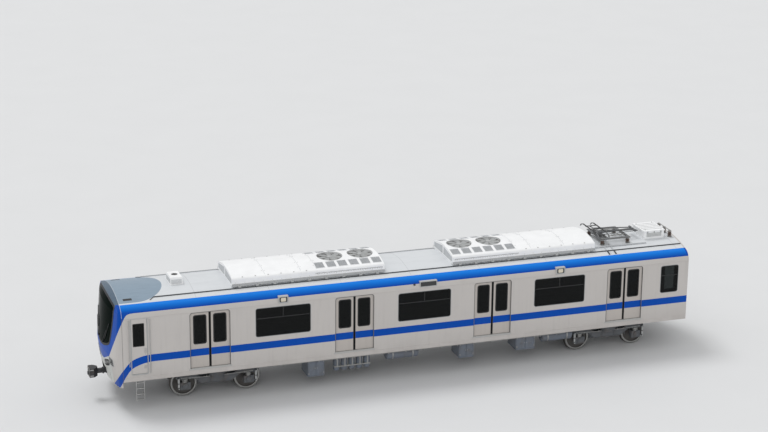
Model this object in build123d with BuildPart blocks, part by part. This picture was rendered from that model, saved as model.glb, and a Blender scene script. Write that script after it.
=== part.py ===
from build123d import *
import math
import os

# A metro cab car on two bogies, in millimetres. +X points to the cab, +Y to the car's left side,
# +Z up. The origin is under the middle of the length, at the level of the wheel flanges.

# Running gear
flange_depth = 28.0
wheel_radius = 430.0
wheel_width = 135.0
flange_width = 32.0
wheel_back_gap = 1353.0
rim_depth = 62.0
web_dish = 38.0
axle_radius = 82.0
journal_radius = 65.0
journal_gap = 0.8
wheelbase = 2100.0
bogie_spacing = 13800.0
side_frame_y = 1000.0
side_frame_width = 170.0
yaw_pin_radius = 90.0
yaw_pin_gap = 6.0

# Body shell
half_width = 1560.0
body_bottom = 1007.0
side_top = 3128.0
roof_top = 3678.0
shoulder_radius = 350.0
floor_top = 1228.0
floor_thick = 120.0
skin = 30.0
lining = 20.0
wall = 100.0
roof_thick = 60.0
end_wall = 60.0
rear_end = -9590.0
cab_joint = 10030.0

# Saloon doors and windows
door_pitch = 4810.0
door_opening = 1300.0
door_head = 3098.0
door_corner = 90.0
leaf_thick = 36.0
leaf_overlap = 15.0
leaf_gap = 6.0
seam_half = 35.0
meeting_gap = 2.5
hanger_gap = 0.3
leaf_window = (380.0, 930.0)
leaf_window_cut = 28.0
window_mid_z = 2535.0
window_height = 961.0
window_corner = 70.0
pane = 14.0
pane_lap = 25.0

# Cab
cab_door_x = 9495.0
cab_door_width = 510.0
cab_door_sill = 1248.0
cab_door_thick = 36.0
cab_window = (340.0, 740.0)
cab_window_z = 2553.0
cab_wall_x = 8800.0
cab_wall_thick = 40.0
cab_wall_doorway = 620.0
mask_thick = 60.0
chin_bottom = 830.0
notch_half = 330.0
notch_top = 1090.0
screen_thick = 20.0
mask_over = 40.0

# Couplers
coupler_z = 888.0
coupler_pivot = 9700.0
coupler_tip = 10920.0
rear_pivot = -9250.0
rear_tip = -9850.0
pin_radius = 42.0
pin_gap = 0.8
pin_sides = 12

# The stations above are measured from the middle between the bogie pivots.
mid_x = -(coupler_tip + rear_tip) / 2
axle_z = wheel_radius + flange_depth
flange_radius = wheel_radius + flange_depth
door_stations = [mid_x + door_pitch * step for step in (1.5, 0.5, -0.5, -1.5)]
# offset from the middle, width
side_windows = [(door_pitch, 1820.0), (0.0, 1820.0), (-door_pitch, 1820.0), (-8885.0, 650.0)]
bogie_stations = {"front": mid_x + bogie_spacing / 2, "rear": mid_x - bogie_spacing / 2}
floor_bottom = floor_top - floor_thick
inner_y = half_width - wall
skin_y = half_width - skin

shoulder_y = half_width - shoulder_radius
shoulder_rise = roof_top - side_top
crown_spread = shoulder_y**2 + shoulder_rise**2 - shoulder_radius**2
crown_radius = crown_spread / (2 * (shoulder_rise - shoulder_radius))
crown_z = roof_top - crown_radius
lean = math.degrees(math.atan2(shoulder_y, side_top - crown_z))

os.makedirs("parts", exist_ok=True)


def save(piece, name):
    piece.part.label = name
    export_step(piece.part, f"parts/{name}.step")


def roof_z(y, inset=0.0):
    """Height of the roof's outer surface at a distance from the centre line."""
    if abs(y) < crown_radius * math.sin(math.radians(lean)):
        return crown_z + math.sqrt((crown_radius - inset) ** 2 - y**2)
    return side_top + math.sqrt((shoulder_radius - inset) ** 2 - (abs(y) - shoulder_y) ** 2)


def body_section(x, inset=0.0, bottom=body_bottom):
    """Closed cross-section of the body at station x, drawn inside its skin by inset."""
    w = half_width - inset
    with BuildSketch(Plane.YZ.offset(x)) as section:
        with BuildLine():
            Polyline((-w, side_top), (-w, bottom), (w, bottom), (w, side_top))
            CenterArc((shoulder_y, side_top), shoulder_radius - inset, 0, 90 - lean)
            CenterArc((0, crown_z), crown_radius - inset, 90 - lean, 2 * lean)
            CenterArc((-shoulder_y, side_top), shoulder_radius - inset, 90 + lean, 90 - lean)
        make_face()
    return section.sketch


def seat_on_roof():
    """Trims the piece being built to the roof's outer surface."""
    extrude(body_section(mid_x + rear_end), amount=cab_joint - rear_end, mode=Mode.SUBTRACT)


def post(x, y, low, high, radius, sides=8, mode=Mode.ADD):
    """An upright bar between two heights; its corners lie on the radius."""
    with BuildSketch(Plane.XY.offset(low)) as ring:
        with Locations((x, y)):
            RegularPolygon(radius, sides)
    extrude(ring.sketch, amount=high - low, mode=mode)


def socket(radius, gap, sides, mode=Mode.ADD):
    """Draws the hole for a many-sided pin: its flats face the pin's corners, a running gap away."""
    RegularPolygon((radius + gap) / math.cos(math.pi / sides), sides, rotation=180 / sides, mode=mode)


def post_hole(x, y, low, high, radius, gap, sides=8):
    """Cuts the upright hole for a post of this radius."""
    with BuildSketch(Plane.XY.offset(low)) as ring:
        with Locations((x, y)):
            socket(radius, gap, sides)
    extrude(ring.sketch, amount=high - low, mode=Mode.SUBTRACT)


# Underframe: floor plate, bolsters over the bogies, cross members and the cab's nose floor
bolster_length = 700.0
bolster_inset = 230.0
bolster_half = half_width - bolster_inset
air_spring_top = 988.0
yaw_pin_low = 620.0
yaw_pin_sides = 16
nose_floor = 10180.0
nose_floor_half = 1150.0
cross_members = (-2700.0, -700.0, 1450.0, 4400.0)
cross_member = (120.0, 80.0)
hinge_pin = 10.0
hinge_gap = 0.6
hinge_socket = 14.0
cab_hinge = (20.0, 16.0)
partition_hinge = (10.0, 24.0)
jack_pad = (240.0, 190.0)
jack_pad_z = 962.0
with BuildPart() as underframe:
    with BuildSketch(Plane.XY.offset(floor_bottom)):
        with Locations((mid_x + (rear_end + end_wall + cab_joint) / 2, 0)):
            Rectangle(cab_joint - rear_end - end_wall, 2 * skin_y)
        with Locations((mid_x + (cab_joint + nose_floor) / 2, 0)):
            Rectangle(nose_floor - cab_joint, 2 * nose_floor_half)
    extrude(amount=floor_thick)
    for station in bogie_stations.values():
        with BuildSketch(Plane.XY.offset(air_spring_top)):
            with Locations((station, 0)):
                Rectangle(bolster_length, 2 * bolster_half)
        extrude(amount=floor_bottom - air_spring_top)
        post(station, 0, yaw_pin_low, floor_bottom, yaw_pin_radius, yaw_pin_sides)
        with BuildSketch(Plane.XY.offset(jack_pad_z)):
            for side in (1, -1):
                with Locations((station, side * (bolster_half + jack_pad[1] / 2))):
                    Rectangle(*jack_pad)
        extrude(amount=floor_bottom - jack_pad_z)
    with BuildSketch(Plane.XY.offset(floor_bottom)):
        for offset in cross_members:
            with Locations((mid_x + offset, 0)):
                Rectangle(cross_member[0], 2 * skin_y)
    extrude(amount=-cross_member[1])
    cab_hinge_x = mid_x + cab_door_x - cab_door_width / 2 + cab_hinge[0]
    cab_hinge_y = skin_y - cab_hinge[1]
    partition_hinge_x = mid_x + cab_wall_x - partition_hinge[0]
    partition_hinge_y = cab_wall_doorway / 2 - partition_hinge[1]
    for x, y in (
        (cab_hinge_x, cab_hinge_y),
        (cab_hinge_x, -cab_hinge_y),
        (partition_hinge_x, partition_hinge_y),
    ):
        post_hole(x, y, floor_top - hinge_socket, floor_top, hinge_pin, hinge_gap)
save(underframe, "underframe")

# Outer skins of both sides: doorways, windows with a rebate for the pane, the cab doorway
side_plane = Plane.XZ.offset(-half_width)
inner_plane = Plane.XZ.offset(-inner_y)
with BuildPart() as side_walls:
    with BuildSketch(side_plane):
        with Locations((mid_x + (rear_end + end_wall + cab_joint) / 2, (body_bottom + side_top) / 2)):
            Rectangle(cab_joint - rear_end - end_wall, side_top - body_bottom)
    extrude(amount=skin)
    doorway_height = door_head - floor_top
    with BuildSketch(side_plane) as doorways:
        for x in door_stations:
            with Locations((x, floor_top + doorway_height / 2)):
                Rectangle(door_opening, doorway_height)
        fillet(doorways.vertices().group_by(Axis.Y)[-1], door_corner)
    extrude(amount=skin, mode=Mode.SUBTRACT)
    with BuildSketch(side_plane):
        for offset, width in side_windows:
            with Locations((mid_x + offset, window_mid_z)):
                RectangleRounded(width, window_height, window_corner)
    extrude(amount=skin, mode=Mode.SUBTRACT)
    with BuildSketch(Plane.XZ.offset(-skin_y)):
        for offset, width in side_windows:
            with Locations((mid_x + offset, window_mid_z)):
                Rectangle(width + 2 * pane_lap, window_height + 2 * pane_lap)
    extrude(amount=-pane, mode=Mode.SUBTRACT)
    with BuildSketch(side_plane):
        with Locations((mid_x + cab_door_x, (cab_door_sill + door_head) / 2)):
            Rectangle(cab_door_width, door_head - cab_door_sill)
    extrude(amount=skin, mode=Mode.SUBTRACT)
    mirror(about=Plane.XZ)
save(side_walls, "side_walls")

with BuildPart() as side_glass:
    with BuildSketch(Plane.XZ.offset(-skin_y)):
        for offset, width in side_windows:
            with Locations((mid_x + offset, window_mid_z)):
                Rectangle(width + 2 * pane_lap, window_height + 2 * pane_lap)
    extrude(amount=-pane)
    mirror(about=Plane.XZ)
save(side_glass, "side_glass")

# Inner lining of the saloon: it closes the door pockets, with the door track along its head
lining_front = cab_wall_x - cab_wall_thick / 2
with BuildPart() as saloon_lining:
    with BuildSketch(inner_plane):
        with Locations((mid_x + (rear_end + end_wall + lining_front) / 2, (floor_top + side_top) / 2)):
            Rectangle(lining_front - rear_end - end_wall, side_top - floor_top)
    extrude(amount=-lining)
    with BuildSketch(inner_plane):
        for x in door_stations:
            with Locations((x, (floor_top + door_head) / 2)):
                Rectangle(door_opening, door_head - floor_top)
        for offset, width in side_windows:
            with Locations((mid_x + offset, window_mid_z)):
                Rectangle(width, window_height)
    extrude(amount=-lining, mode=Mode.SUBTRACT)
    with BuildSketch(Plane.XY.offset(door_head)):
        with Locations((mid_x + (rear_end + end_wall + lining_front) / 2, (inner_y + skin_y) / 2)):
            Rectangle(lining_front - rear_end - end_wall, skin_y - inner_y)
    extrude(amount=side_top - door_head)
    mirror(about=Plane.XZ)
save(saloon_lining, "saloon_lining")

# Roof shell, with the housings over two windows and the side display on its shoulders
housing_size = (330.0, 236.0)
housing_stand = 30.0
housing_out = half_width + housing_stand
display_size = (600.0, 200.0)
display_offset = -120.0
display_stand = 12.0
display_out = half_width + display_stand
display_rise = 40.0
housing_deep = 160.0
housing_back = half_width - housing_deep
roof_spare = 300.0
roof_length = cab_joint - rear_end - end_wall
# offset from the middle, length, height, bottom, outer face
shoulder_boxes = [
    (door_pitch, *housing_size, side_top, housing_out),
    (-door_pitch, *housing_size, side_top, housing_out),
    (display_offset, *display_size, side_top + display_rise, display_out),
]
with BuildPart() as roof:
    extrude(body_section(mid_x + rear_end + end_wall, bottom=side_top - roof_spare), amount=roof_length)
    for offset, length, height, low, out in shoulder_boxes:
        for side in (1, -1):
            with BuildSketch(Plane.XY.offset(low)):
                with Locations((mid_x + offset, side * (housing_back + out) / 2)):
                    Rectangle(length, out - housing_back)
            extrude(amount=height)
    extrude(
        body_section(mid_x + rear_end + end_wall, inset=roof_thick, bottom=side_top - 2 * roof_spare),
        amount=roof_length,
        mode=Mode.SUBTRACT,
    )
    split(bisect_by=Plane.XY.offset(side_top), keep=Keep.TOP)
save(roof, "roof")

# Rain gutters along the roof's shoulders
gutter_inset = 570.0
gutter_y = half_width - gutter_inset
gutter_height = 26.0
gutter_width = 34.0
gutter_front = 8900.0
with BuildPart() as gutters:
    with BuildSketch(Plane.YZ.offset(mid_x + rear_end + end_wall)):
        with Locations((gutter_y, roof_z(gutter_y))):
            Rectangle(gutter_width, 2 * gutter_height)
    extrude(amount=gutter_front - rear_end - end_wall)
    seat_on_roof()
    mirror(about=Plane.XZ)
save(gutters, "gutters")

# Rear end wall with the gangway doorway
gangway_width = 1300.0
gangway_height = 1950.0
with BuildPart() as end_wall_rear:
    extrude(body_section(mid_x + rear_end), amount=end_wall)
    with BuildSketch(Plane.YZ.offset(mid_x + rear_end)):
        with Locations((0, floor_top + gangway_height / 2)):
            Rectangle(gangway_width, gangway_height)
    extrude(amount=end_wall, mode=Mode.SUBTRACT)
save(end_wall_rear, "end_wall_rear")

# Half gangway: ribs of dark rubber round the passage
rib_count = 4
rib_height = 70.0
rib_thick = 24.0
bellows_wall = 40.0
passage_cut = 90.0
bellows_length = rear_end - rear_tip


def passage_outline(grow):
    """Outline of the passage with its corners cut, moved outwards by grow."""
    with BuildSketch(Plane.YZ.offset(mid_x + rear_end)) as outline:
        with Locations((0, floor_top + gangway_height / 2)):
            Rectangle(gangway_width + 2 * grow, gangway_height + 2 * grow)
        chamfer(outline.vertices(), passage_cut + grow / 2)
    return outline.sketch


with BuildPart() as gangway_bellows:
    extrude(passage_outline(bellows_wall), amount=-bellows_length)
    rib_pitch = (bellows_length - rib_thick) / (rib_count - 1)
    for index in range(rib_count):
        rib = Pos(-index * rib_pitch, 0, 0) * passage_outline(bellows_wall + rib_height)
        extrude(rib, amount=-rib_thick)
    extrude(passage_outline(0), amount=-bellows_length, mode=Mode.SUBTRACT)
save(gangway_bellows, "gangway_bellows")

# Cab mask: a loft of plan outlines with rounded corners, trimmed to the body section
nose_bulge = 222.0
nose_corner = 200.0
nose_back = 300.0
nose_reach = 1000.0
chin_over = 100.0
mask_rise = 60.0
# height, foremost x
mask_sections = [
    (chin_bottom, 10330.0),
    (1190.0, 10380.0),
    (1770.0, 10455.0),
    (3300.0, 10335.0),
    (roof_top + mask_rise, 10200.0),
]


def mask_solid(inset):
    """The nose inside its outer faces by inset, from the cab joint forward."""
    w = half_width + mask_over
    back = mid_x + cab_joint - nose_back
    with BuildPart() as nose:
        outlines = []
        for height, centre_x in mask_sections:
            front = mid_x + centre_x - inset
            with BuildSketch(Plane.XY.offset(height)) as outline:
                with BuildLine():
                    Polyline((front - nose_bulge, -w), (back, -w), (back, w), (front - nose_bulge, w))
                    ThreePointArc((front - nose_bulge, w), (front, 0), (front - nose_bulge, -w))
                make_face()
                fillet(outline.vertices().group_by(Axis.X)[-1], nose_corner)
            outlines.append(outline.sketch)
        loft(outlines, ruled=True)
        extrude(
            body_section(mid_x + cab_joint, inset=inset, bottom=chin_bottom - chin_over),
            amount=nose_reach,
            mode=Mode.INTERSECT,
        )
    return nose.part


# Half width of the windscreen and height, from its top corner down to its bottom corner
screen_top = (1200.0, 3435.0)
screen_side = (1150.0, 2800.0)
screen_low = (985.0, 2150.0)
screen_crest = 3590.0
screen_belly = 1905.0
screen_corner = 70.0


def screen_prism():
    """Front view of the windscreen, as a sketch behind the nose."""
    with BuildSketch(Plane.YZ.offset(mid_x + cab_joint)) as outline:
        with BuildLine():
            for side in (1, -1):
                ThreePointArc(*[(side * y, z) for y, z in (screen_top, screen_side, screen_low)])
            ThreePointArc((-screen_top[0], screen_top[1]), (0, screen_crest), screen_top)
            ThreePointArc((-screen_low[0], screen_low[1]), (0, screen_belly), screen_low)
        make_face()
        fillet(outline.vertices(), screen_corner)
    return outline.sketch


lamp_y = 1120.0
lamp_z = 1590.0
lamp_size = (330.0, 260.0)
lamp_cut = 36.0
lamp_inset = 8.0
lamp_back = 10215.0


def lamp_outlines(x):
    """Front view of both headlamps, as a sketch at a station."""
    with BuildSketch(Plane.YZ.offset(mid_x + x)) as outlines:
        with Locations((lamp_y, lamp_z), (-lamp_y, lamp_z)):
            Rectangle(*lamp_size)
        chamfer(outlines.vertices(), lamp_cut)
    return outlines.sketch


with BuildPart() as cab_front:
    add(mask_solid(0))
    add(mask_solid(mask_thick), mode=Mode.SUBTRACT)
    extrude(screen_prism(), amount=nose_reach, mode=Mode.SUBTRACT)
    extrude(lamp_outlines(cab_joint), amount=nose_reach, mode=Mode.SUBTRACT)
    with BuildSketch(Plane.YZ.offset(mid_x + cab_joint)):
        with Locations((0, (chin_bottom - chin_over + notch_top) / 2)):
            Rectangle(2 * notch_half, notch_top - chin_bottom + chin_over)
    extrude(amount=nose_reach, mode=Mode.SUBTRACT)
save(cab_front, "cab_front")

with BuildPart() as windscreen:
    add(mask_solid(0))
    add(mask_solid(screen_thick), mode=Mode.SUBTRACT)
    extrude(screen_prism(), amount=nose_reach, mode=Mode.INTERSECT)
save(windscreen, "windscreen")

with BuildPart() as headlamps:
    add(mask_solid(lamp_inset))
    extrude(lamp_outlines(lamp_back), amount=nose_reach, mode=Mode.INTERSECT)
save(headlamps, "headlamps")

# Cab partition and its door, driver's desk and seat
door_swing_gap = 8.0
partition_head = 3080.0
seating_gap = 0.3
door_pane = (300.0, 600.0)
door_pane_z = 2500.0
hinge_sunk = 13.4
with BuildPart() as cab_partition:
    extrude(
        body_section(
            mid_x + cab_wall_x - cab_wall_thick / 2,
            inset=roof_thick + seating_gap,
            bottom=floor_top,
        ),
        amount=cab_wall_thick,
    )
    with BuildSketch(Plane.XY.offset(floor_top)):
        with Locations((mid_x + cab_wall_x, 0)):
            Rectangle(cab_wall_thick, 2 * skin_y)
    extrude(amount=side_top - floor_top - seating_gap)
    with BuildSketch(Plane.YZ.offset(mid_x + cab_wall_x - cab_wall_thick / 2)):
        with Locations((0, (floor_top + partition_head) / 2)):
            Rectangle(cab_wall_doorway, partition_head - floor_top)
    extrude(amount=cab_wall_thick, mode=Mode.SUBTRACT)
save(cab_partition, "cab_partition")

with BuildPart() as partition_door:
    with BuildSketch(Plane.YZ.offset(mid_x + cab_wall_x - cab_wall_thick / 2)):
        with Locations((0, (floor_top + partition_head) / 2)):
            Rectangle(cab_wall_doorway - 2 * door_swing_gap, partition_head - floor_top - 2 * leaf_gap)
        with Locations((0, door_pane_z)):
            Rectangle(*door_pane, mode=Mode.SUBTRACT)
    extrude(amount=cab_wall_thick)
    post(partition_hinge_x, partition_hinge_y, floor_top - hinge_sunk, floor_top + 2 * leaf_gap, hinge_pin)
save(partition_door, "partition_door")

desk_top = 1980.0
desk_width = 2 * nose_floor_half
desk_overhang = 20.0
desk_front = mid_x + nose_floor + desk_overhang
# depth from the front, and how far below the top: shelf, edge, underside of the edge, foot
desk_shelf = (225.0, 60.0)
desk_edge = (385.0, 160.0)
desk_lip = 60.0
desk_foot = (210.0, 260.0)
with BuildPart() as driver_desk:
    with BuildSketch(Plane.XZ.offset(-desk_width / 2)):
        with BuildLine():
            Polyline(
                (desk_front, floor_top),
                (desk_front, desk_top),
                (desk_front - desk_shelf[0], desk_top - desk_shelf[1]),
                (desk_front - desk_edge[0], desk_top - desk_edge[1]),
                (desk_front - desk_edge[0], desk_top - desk_edge[1] - desk_lip),
                (desk_front - desk_foot[0], desk_top - desk_foot[1]),
                (desk_front - desk_foot[0], floor_top),
                close=True,
            )
        make_face()
    extrude(amount=desk_width)
save(driver_desk, "driver_desk")

seat_x = 9480.0
seat_height = 420.0
seat_cushion = (460.0, 480.0, 100.0)
seat_back = (90.0, 460.0, 700.0)
seat_stem = 60.0
with BuildPart() as driver_seat:
    post(mid_x + seat_x, 0, floor_top, floor_top + seat_height, seat_stem)
    with Locations((mid_x + seat_x, 0, floor_top + seat_height)):
        Box(*seat_cushion, align=(Align.CENTER, Align.CENTER, Align.MIN))
    back_x = seat_x - seat_cushion[0] / 2 + seat_back[0] / 2
    with Locations((mid_x + back_x, 0, floor_top + seat_height)):
        Box(*seat_back, align=(Align.CENTER, Align.CENTER, Align.MIN))
save(driver_seat, "driver_seat")

# Bench seats along the walls between the doorways, and grab poles beside each doorway
bench_depth = 430.0
bench_height = 420.0
bench_back = 480.0
bench_foot = 160.0
# offset from the middle, length
bench_table = [(door_pitch, 2900.0), (0.0, 2900.0), (-door_pitch, 2900.0), (-8960.0, 1000.0)]
with BuildPart() as benches:
    for offset, length in bench_table:
        with BuildSketch(Plane.YZ.offset(mid_x + offset - length / 2)):
            with BuildLine():
                Polyline(
                    (inner_y, floor_top + bench_foot),
                    (inner_y, floor_top + bench_height + bench_back),
                    (inner_y - 50, floor_top + bench_height + bench_back),
                    (inner_y - 90, floor_top + bench_height),
                    (inner_y - bench_depth, floor_top + bench_height + 15),
                    (inner_y - bench_depth, floor_top + bench_height - 60),
                    (inner_y - 150, floor_top + bench_foot),
                    close=True,
                )
            make_face()
        extrude(amount=length)
    mirror(about=Plane.XZ)
save(benches, "benches")

pole_radius = 17.0
pole_y = inner_y - bench_depth - 40
pole_offset = 900.0
pole_top = roof_z(pole_y + pole_radius, roof_thick) - seating_gap
with BuildPart() as grab_poles:
    for x in door_stations:
        for along in (-pole_offset, pole_offset):
            for side in (1, -1):
                post(x + along, side * pole_y, floor_top, pole_top, pole_radius)
save(grab_poles, "grab_poles")

# Saloon door leaves: a panel with a pane in its window, a rubber nosing and a hanger in the track
leaf_mid_y = (inner_y + lining + skin_y) / 2
leaf_bottom = floor_top + leaf_gap
leaf_top = door_head - leaf_gap
leaf_end = door_opening / 2 + leaf_overlap
leaf_window_mid = door_opening / 4
leaf_window_z = 2513.0
leaf_pane = 8.0
hanger = (460.0, 14.0)


def leaf_opening(plane, x):
    """The window of a leaf, its corners cut, as a sketch on a plane along the side."""
    with BuildSketch(plane) as opening:
        with Locations((x, leaf_window_z)):
            Rectangle(*leaf_window)
        chamfer(opening.vertices(), leaf_window_cut)
    return opening.sketch


for side_name, side in (("left", 1), ("right", -1)):
    for number, x in enumerate(door_stations, start=1):
        for end_name, way in (("front", 1), ("rear", -1)):
            leaf_mid_z = (leaf_bottom + leaf_top) / 2
            window_x = x + way * leaf_window_mid
            with BuildPart() as leaf:
                outer = Plane.XZ.offset(-side * (leaf_mid_y + leaf_thick / 2))
                with BuildSketch(outer):
                    with Locations((x + way * (seam_half + leaf_end) / 2, leaf_mid_z)):
                        Rectangle(leaf_end - seam_half, leaf_top - leaf_bottom)
                extrude(amount=side * leaf_thick)
                extrude(leaf_opening(outer, window_x), amount=side * leaf_thick, mode=Mode.SUBTRACT)
                pane_plane = Plane.XZ.offset(-side * (leaf_mid_y + leaf_pane / 2))
                extrude(leaf_opening(pane_plane, window_x), amount=side * leaf_pane)
                with BuildSketch(Plane.XZ.offset(-side * leaf_mid_y)):
                    with Locations((x + way * (meeting_gap + seam_half) / 2, leaf_mid_z)):
                        Rectangle(seam_half - meeting_gap, leaf_top - leaf_bottom)
                extrude(amount=leaf_thick / 3, both=True)
                with BuildSketch(Plane.XY.offset(leaf_top)):
                    with Locations((window_x, side * leaf_mid_y)):
                        Rectangle(*hanger)
                extrude(amount=leaf_gap - hanger_gap)
            save(leaf, f"door_{side_name}_{number}_{end_name}")

# Cab side doors, hung on a pivot in the floor at their rear edge and opening inwards
cab_door_inset = 4.0
cab_window_offset = 20.0
cab_pane = 8.0
hinge_block = (30.0, 34.0, 40.0)
for side_name, side in (("left", 1), ("right", -1)):
    with BuildPart() as cab_door:
        low = cab_door_sill + leaf_gap
        high = door_head - leaf_gap
        window_spot = (mid_x + cab_door_x + cab_window_offset, cab_window_z)
        with BuildSketch(Plane.XZ.offset(-side * (half_width - cab_door_inset))):
            with Locations((mid_x + cab_door_x, (low + high) / 2)):
                Rectangle(cab_door_width - 2 * door_swing_gap, high - low)
            with Locations(window_spot):
                Rectangle(*cab_window, mode=Mode.SUBTRACT)
        extrude(amount=side * cab_door_thick)
        with BuildSketch(Plane.XZ.offset(-side * (half_width - cab_door_inset - cab_door_thick / 2))):
            with Locations(window_spot):
                Rectangle(*cab_window)
        extrude(amount=side * cab_pane)
        post(cab_hinge_x, side * cab_hinge_y, floor_top - hinge_sunk, low + cab_hinge[0], hinge_pin)
        with Locations((cab_hinge_x + 4, side * (cab_hinge_y + 3), low)):
            Box(*hinge_block, align=(Align.CENTER, Align.CENTER, Align.MIN))
    save(cab_door, f"cab_door_{side_name}")

# Handrails and ladders beside the cab doors
rail_stand = 42.0
rail_radius = 13.0
rail_foot = (22.0, 30.0)
ladder_low = 330.0
ladder_width = 256.0
ladder_bar = (14.0, 40.0)
ladder_step = (36.0, 20.0)
ladder_pitch = 190.0
ladder_y = skin_y - 20.0
# x, lowest, highest
handrail_table = [(9820.0, 1528.0, 3068.0), (9160.0, 1258.0, 3068.0)]
with BuildPart() as cab_rails_steps:
    for side in (1, -1):
        for x, low, high in handrail_table:
            post(mid_x + x, side * (half_width + rail_stand), low, high, rail_radius)
            for z in (low + rail_foot[1], high - rail_foot[1]):
                with BuildSketch(Plane.XZ.offset(-side * half_width)):
                    with Locations((mid_x + x, z)):
                        Rectangle(rail_foot[0], rail_foot[0])
                extrude(amount=-side * rail_stand)
        for x in (-ladder_width / 2, ladder_width / 2):
            with Locations((mid_x + cab_door_x + x, side * ladder_y, ladder_low)):
                Box(*ladder_bar, floor_bottom - ladder_low, align=(Align.CENTER, Align.CENTER, Align.MIN))
        for step in range(4):
            with Locations((mid_x + cab_door_x, side * ladder_y, ladder_low + 30 + ladder_pitch * step)):
                Box(ladder_width, *ladder_step)
save(cab_rails_steps, "cab_rails_steps")

# Air conditioners on the roof: a smooth cover and a grilled half with two fans
aircon_outer = 6330.0
aircon_inner = 1190.0
aircon_half = 950.0
aircon_bottom = 3612.0
aircon_top = 4022.0
aircon_side = (935.0, 3810.0)
aircon_bend = (912.0, 3868.0)
aircon_shoulder = (835.0, 3900.0)
grille_count = 6
grille_start = 195.0
grille_pitch = 389.0
grille_size = (300.0, 350.0)
grille_depth = 18.0
grille_lean = 12.6
fan_radius = 420.0
fan_offsets = (1750.0, 2800.0)
fan_depth = 50.0
fan_sides = 24
with BuildPart() as aircons:
    shoulder_drop = aircon_top - aircon_shoulder[1]
    barrel_radius = (aircon_shoulder[0] ** 2 + shoulder_drop**2) / (2 * shoulder_drop)
    barrel_z = aircon_top - barrel_radius
    for way in (1, -1):
        with BuildSketch(Plane.YZ.offset(mid_x + way * aircon_inner)):
            with BuildLine():
                Line((-aircon_half, aircon_bottom), (aircon_half, aircon_bottom))
                for side in (1, -1):
                    Line((side * aircon_half, aircon_bottom), (side * aircon_side[0], aircon_side[1]))
                    ThreePointArc(*[(side * y, z) for y, z in (aircon_side, aircon_bend, aircon_shoulder)])
                ThreePointArc((-aircon_shoulder[0], aircon_shoulder[1]), (0, aircon_top), aircon_shoulder)
            make_face()
        extrude(amount=way * (aircon_outer - aircon_inner))
        seat_on_roof()
        for side in (1, -1):
            lean_y = barrel_radius * math.sin(math.radians(grille_lean))
            lean_z = barrel_radius * math.cos(math.radians(grille_lean))
            slope = Plane(
                origin=(mid_x, side * lean_y, barrel_z + lean_z),
                x_dir=(1, 0, 0),
                z_dir=(0, side * lean_y, lean_z),
            )
            with BuildSketch(slope):
                for index in range(grille_count):
                    with Locations((way * (aircon_inner + grille_start + index * grille_pitch), 0)):
                        Rectangle(*grille_size)
            extrude(amount=-grille_depth, mode=Mode.SUBTRACT)
        for offset in fan_offsets:
            fan_x = mid_x + way * offset
            post(fan_x, 0, aircon_top - fan_depth, aircon_top, fan_radius, fan_sides, mode=Mode.SUBTRACT)
save(aircons, "aircons")

# Roof vent behind the cab
vent_x = 7992.0
vent_size = (400.0, 640.0)
vent_low = 3640.0
vent_shoulder = 3862.0
vent_top = 3900.0
vent_lean = 26.0
vent_hole = (110.0, 40.0)
with BuildPart() as roof_vent:
    with BuildSketch(Plane.XY.offset(vent_low)):
        with Locations((mid_x + vent_x, 0)):
            Rectangle(*vent_size)
    extrude(amount=vent_shoulder - vent_low)
    with BuildSketch(Plane.XY.offset(vent_shoulder)):
        with Locations((mid_x + vent_x, 0)):
            Rectangle(*vent_size)
    extrude(amount=vent_top - vent_shoulder, taper=vent_lean)
    seat_on_roof()
    post(mid_x + vent_x, 0, vent_top - vent_hole[1], vent_top, vent_hole[0], 16, mode=Mode.SUBTRACT)
save(roof_vent, "roof_vent")

# Pantograph: a base frame on four insulators, lower arm, upper arm, collector head, thrust rod
panto_x = mid_x - 7260.0
panto_frame_z = 3830.0
panto_frame_thick = 30.0
panto_foot = (470.0, 550.0)
frame_margin = (70.0, 30.0)
frame_bar = 90.0
insulator_low = 3600.0
insulator_radius = 62.0
arm_pivot = (panto_x + 430.0, 3900.0)
knuckle = (panto_x - 900.0, 3930.0)
head_pivot = (panto_x + 520.0, 4030.0)
rod_foot = (panto_x + 277.0, 3900.0)
rod_top = (knuckle[0] - 60.0, knuckle[1] + 4.0)
rod_y = 260.0
rod_pin = 8.0
rod_slack = 3.8
rod_eye = 20.0
rod_radius = 11.0
eye_width = 24.0
shaft_radius = 20.0
shaft_gap = 0.8
hub_radius_arm = 40.0
hub_radius_fork = 44.0
hub_outer = 240.0
hub_inner = 120.0
knuckle_shaft = 200.0
arm_shaft = 300.0
busbar_x = mid_x - 9390.0
busbar_posts = (-420.0, 0.0, 420.0)
busbar_low = 3880.0
busbar = (40.0, 900.0, 20.0)
with BuildPart() as insulators:
    for x in (panto_foot[0], -panto_foot[0]):
        for y in (panto_foot[1], -panto_foot[1]):
            post(panto_x + x, y, insulator_low, panto_frame_z, insulator_radius, 10)
    for y in busbar_posts:
        post(busbar_x, y, insulator_low, busbar_low, insulator_radius, 10)
    with Locations((busbar_x, 0, busbar_low)):
        Box(*busbar, align=(Align.CENTER, Align.CENTER, Align.MIN))
    seat_on_roof()
save(insulators, "insulators")

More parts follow.
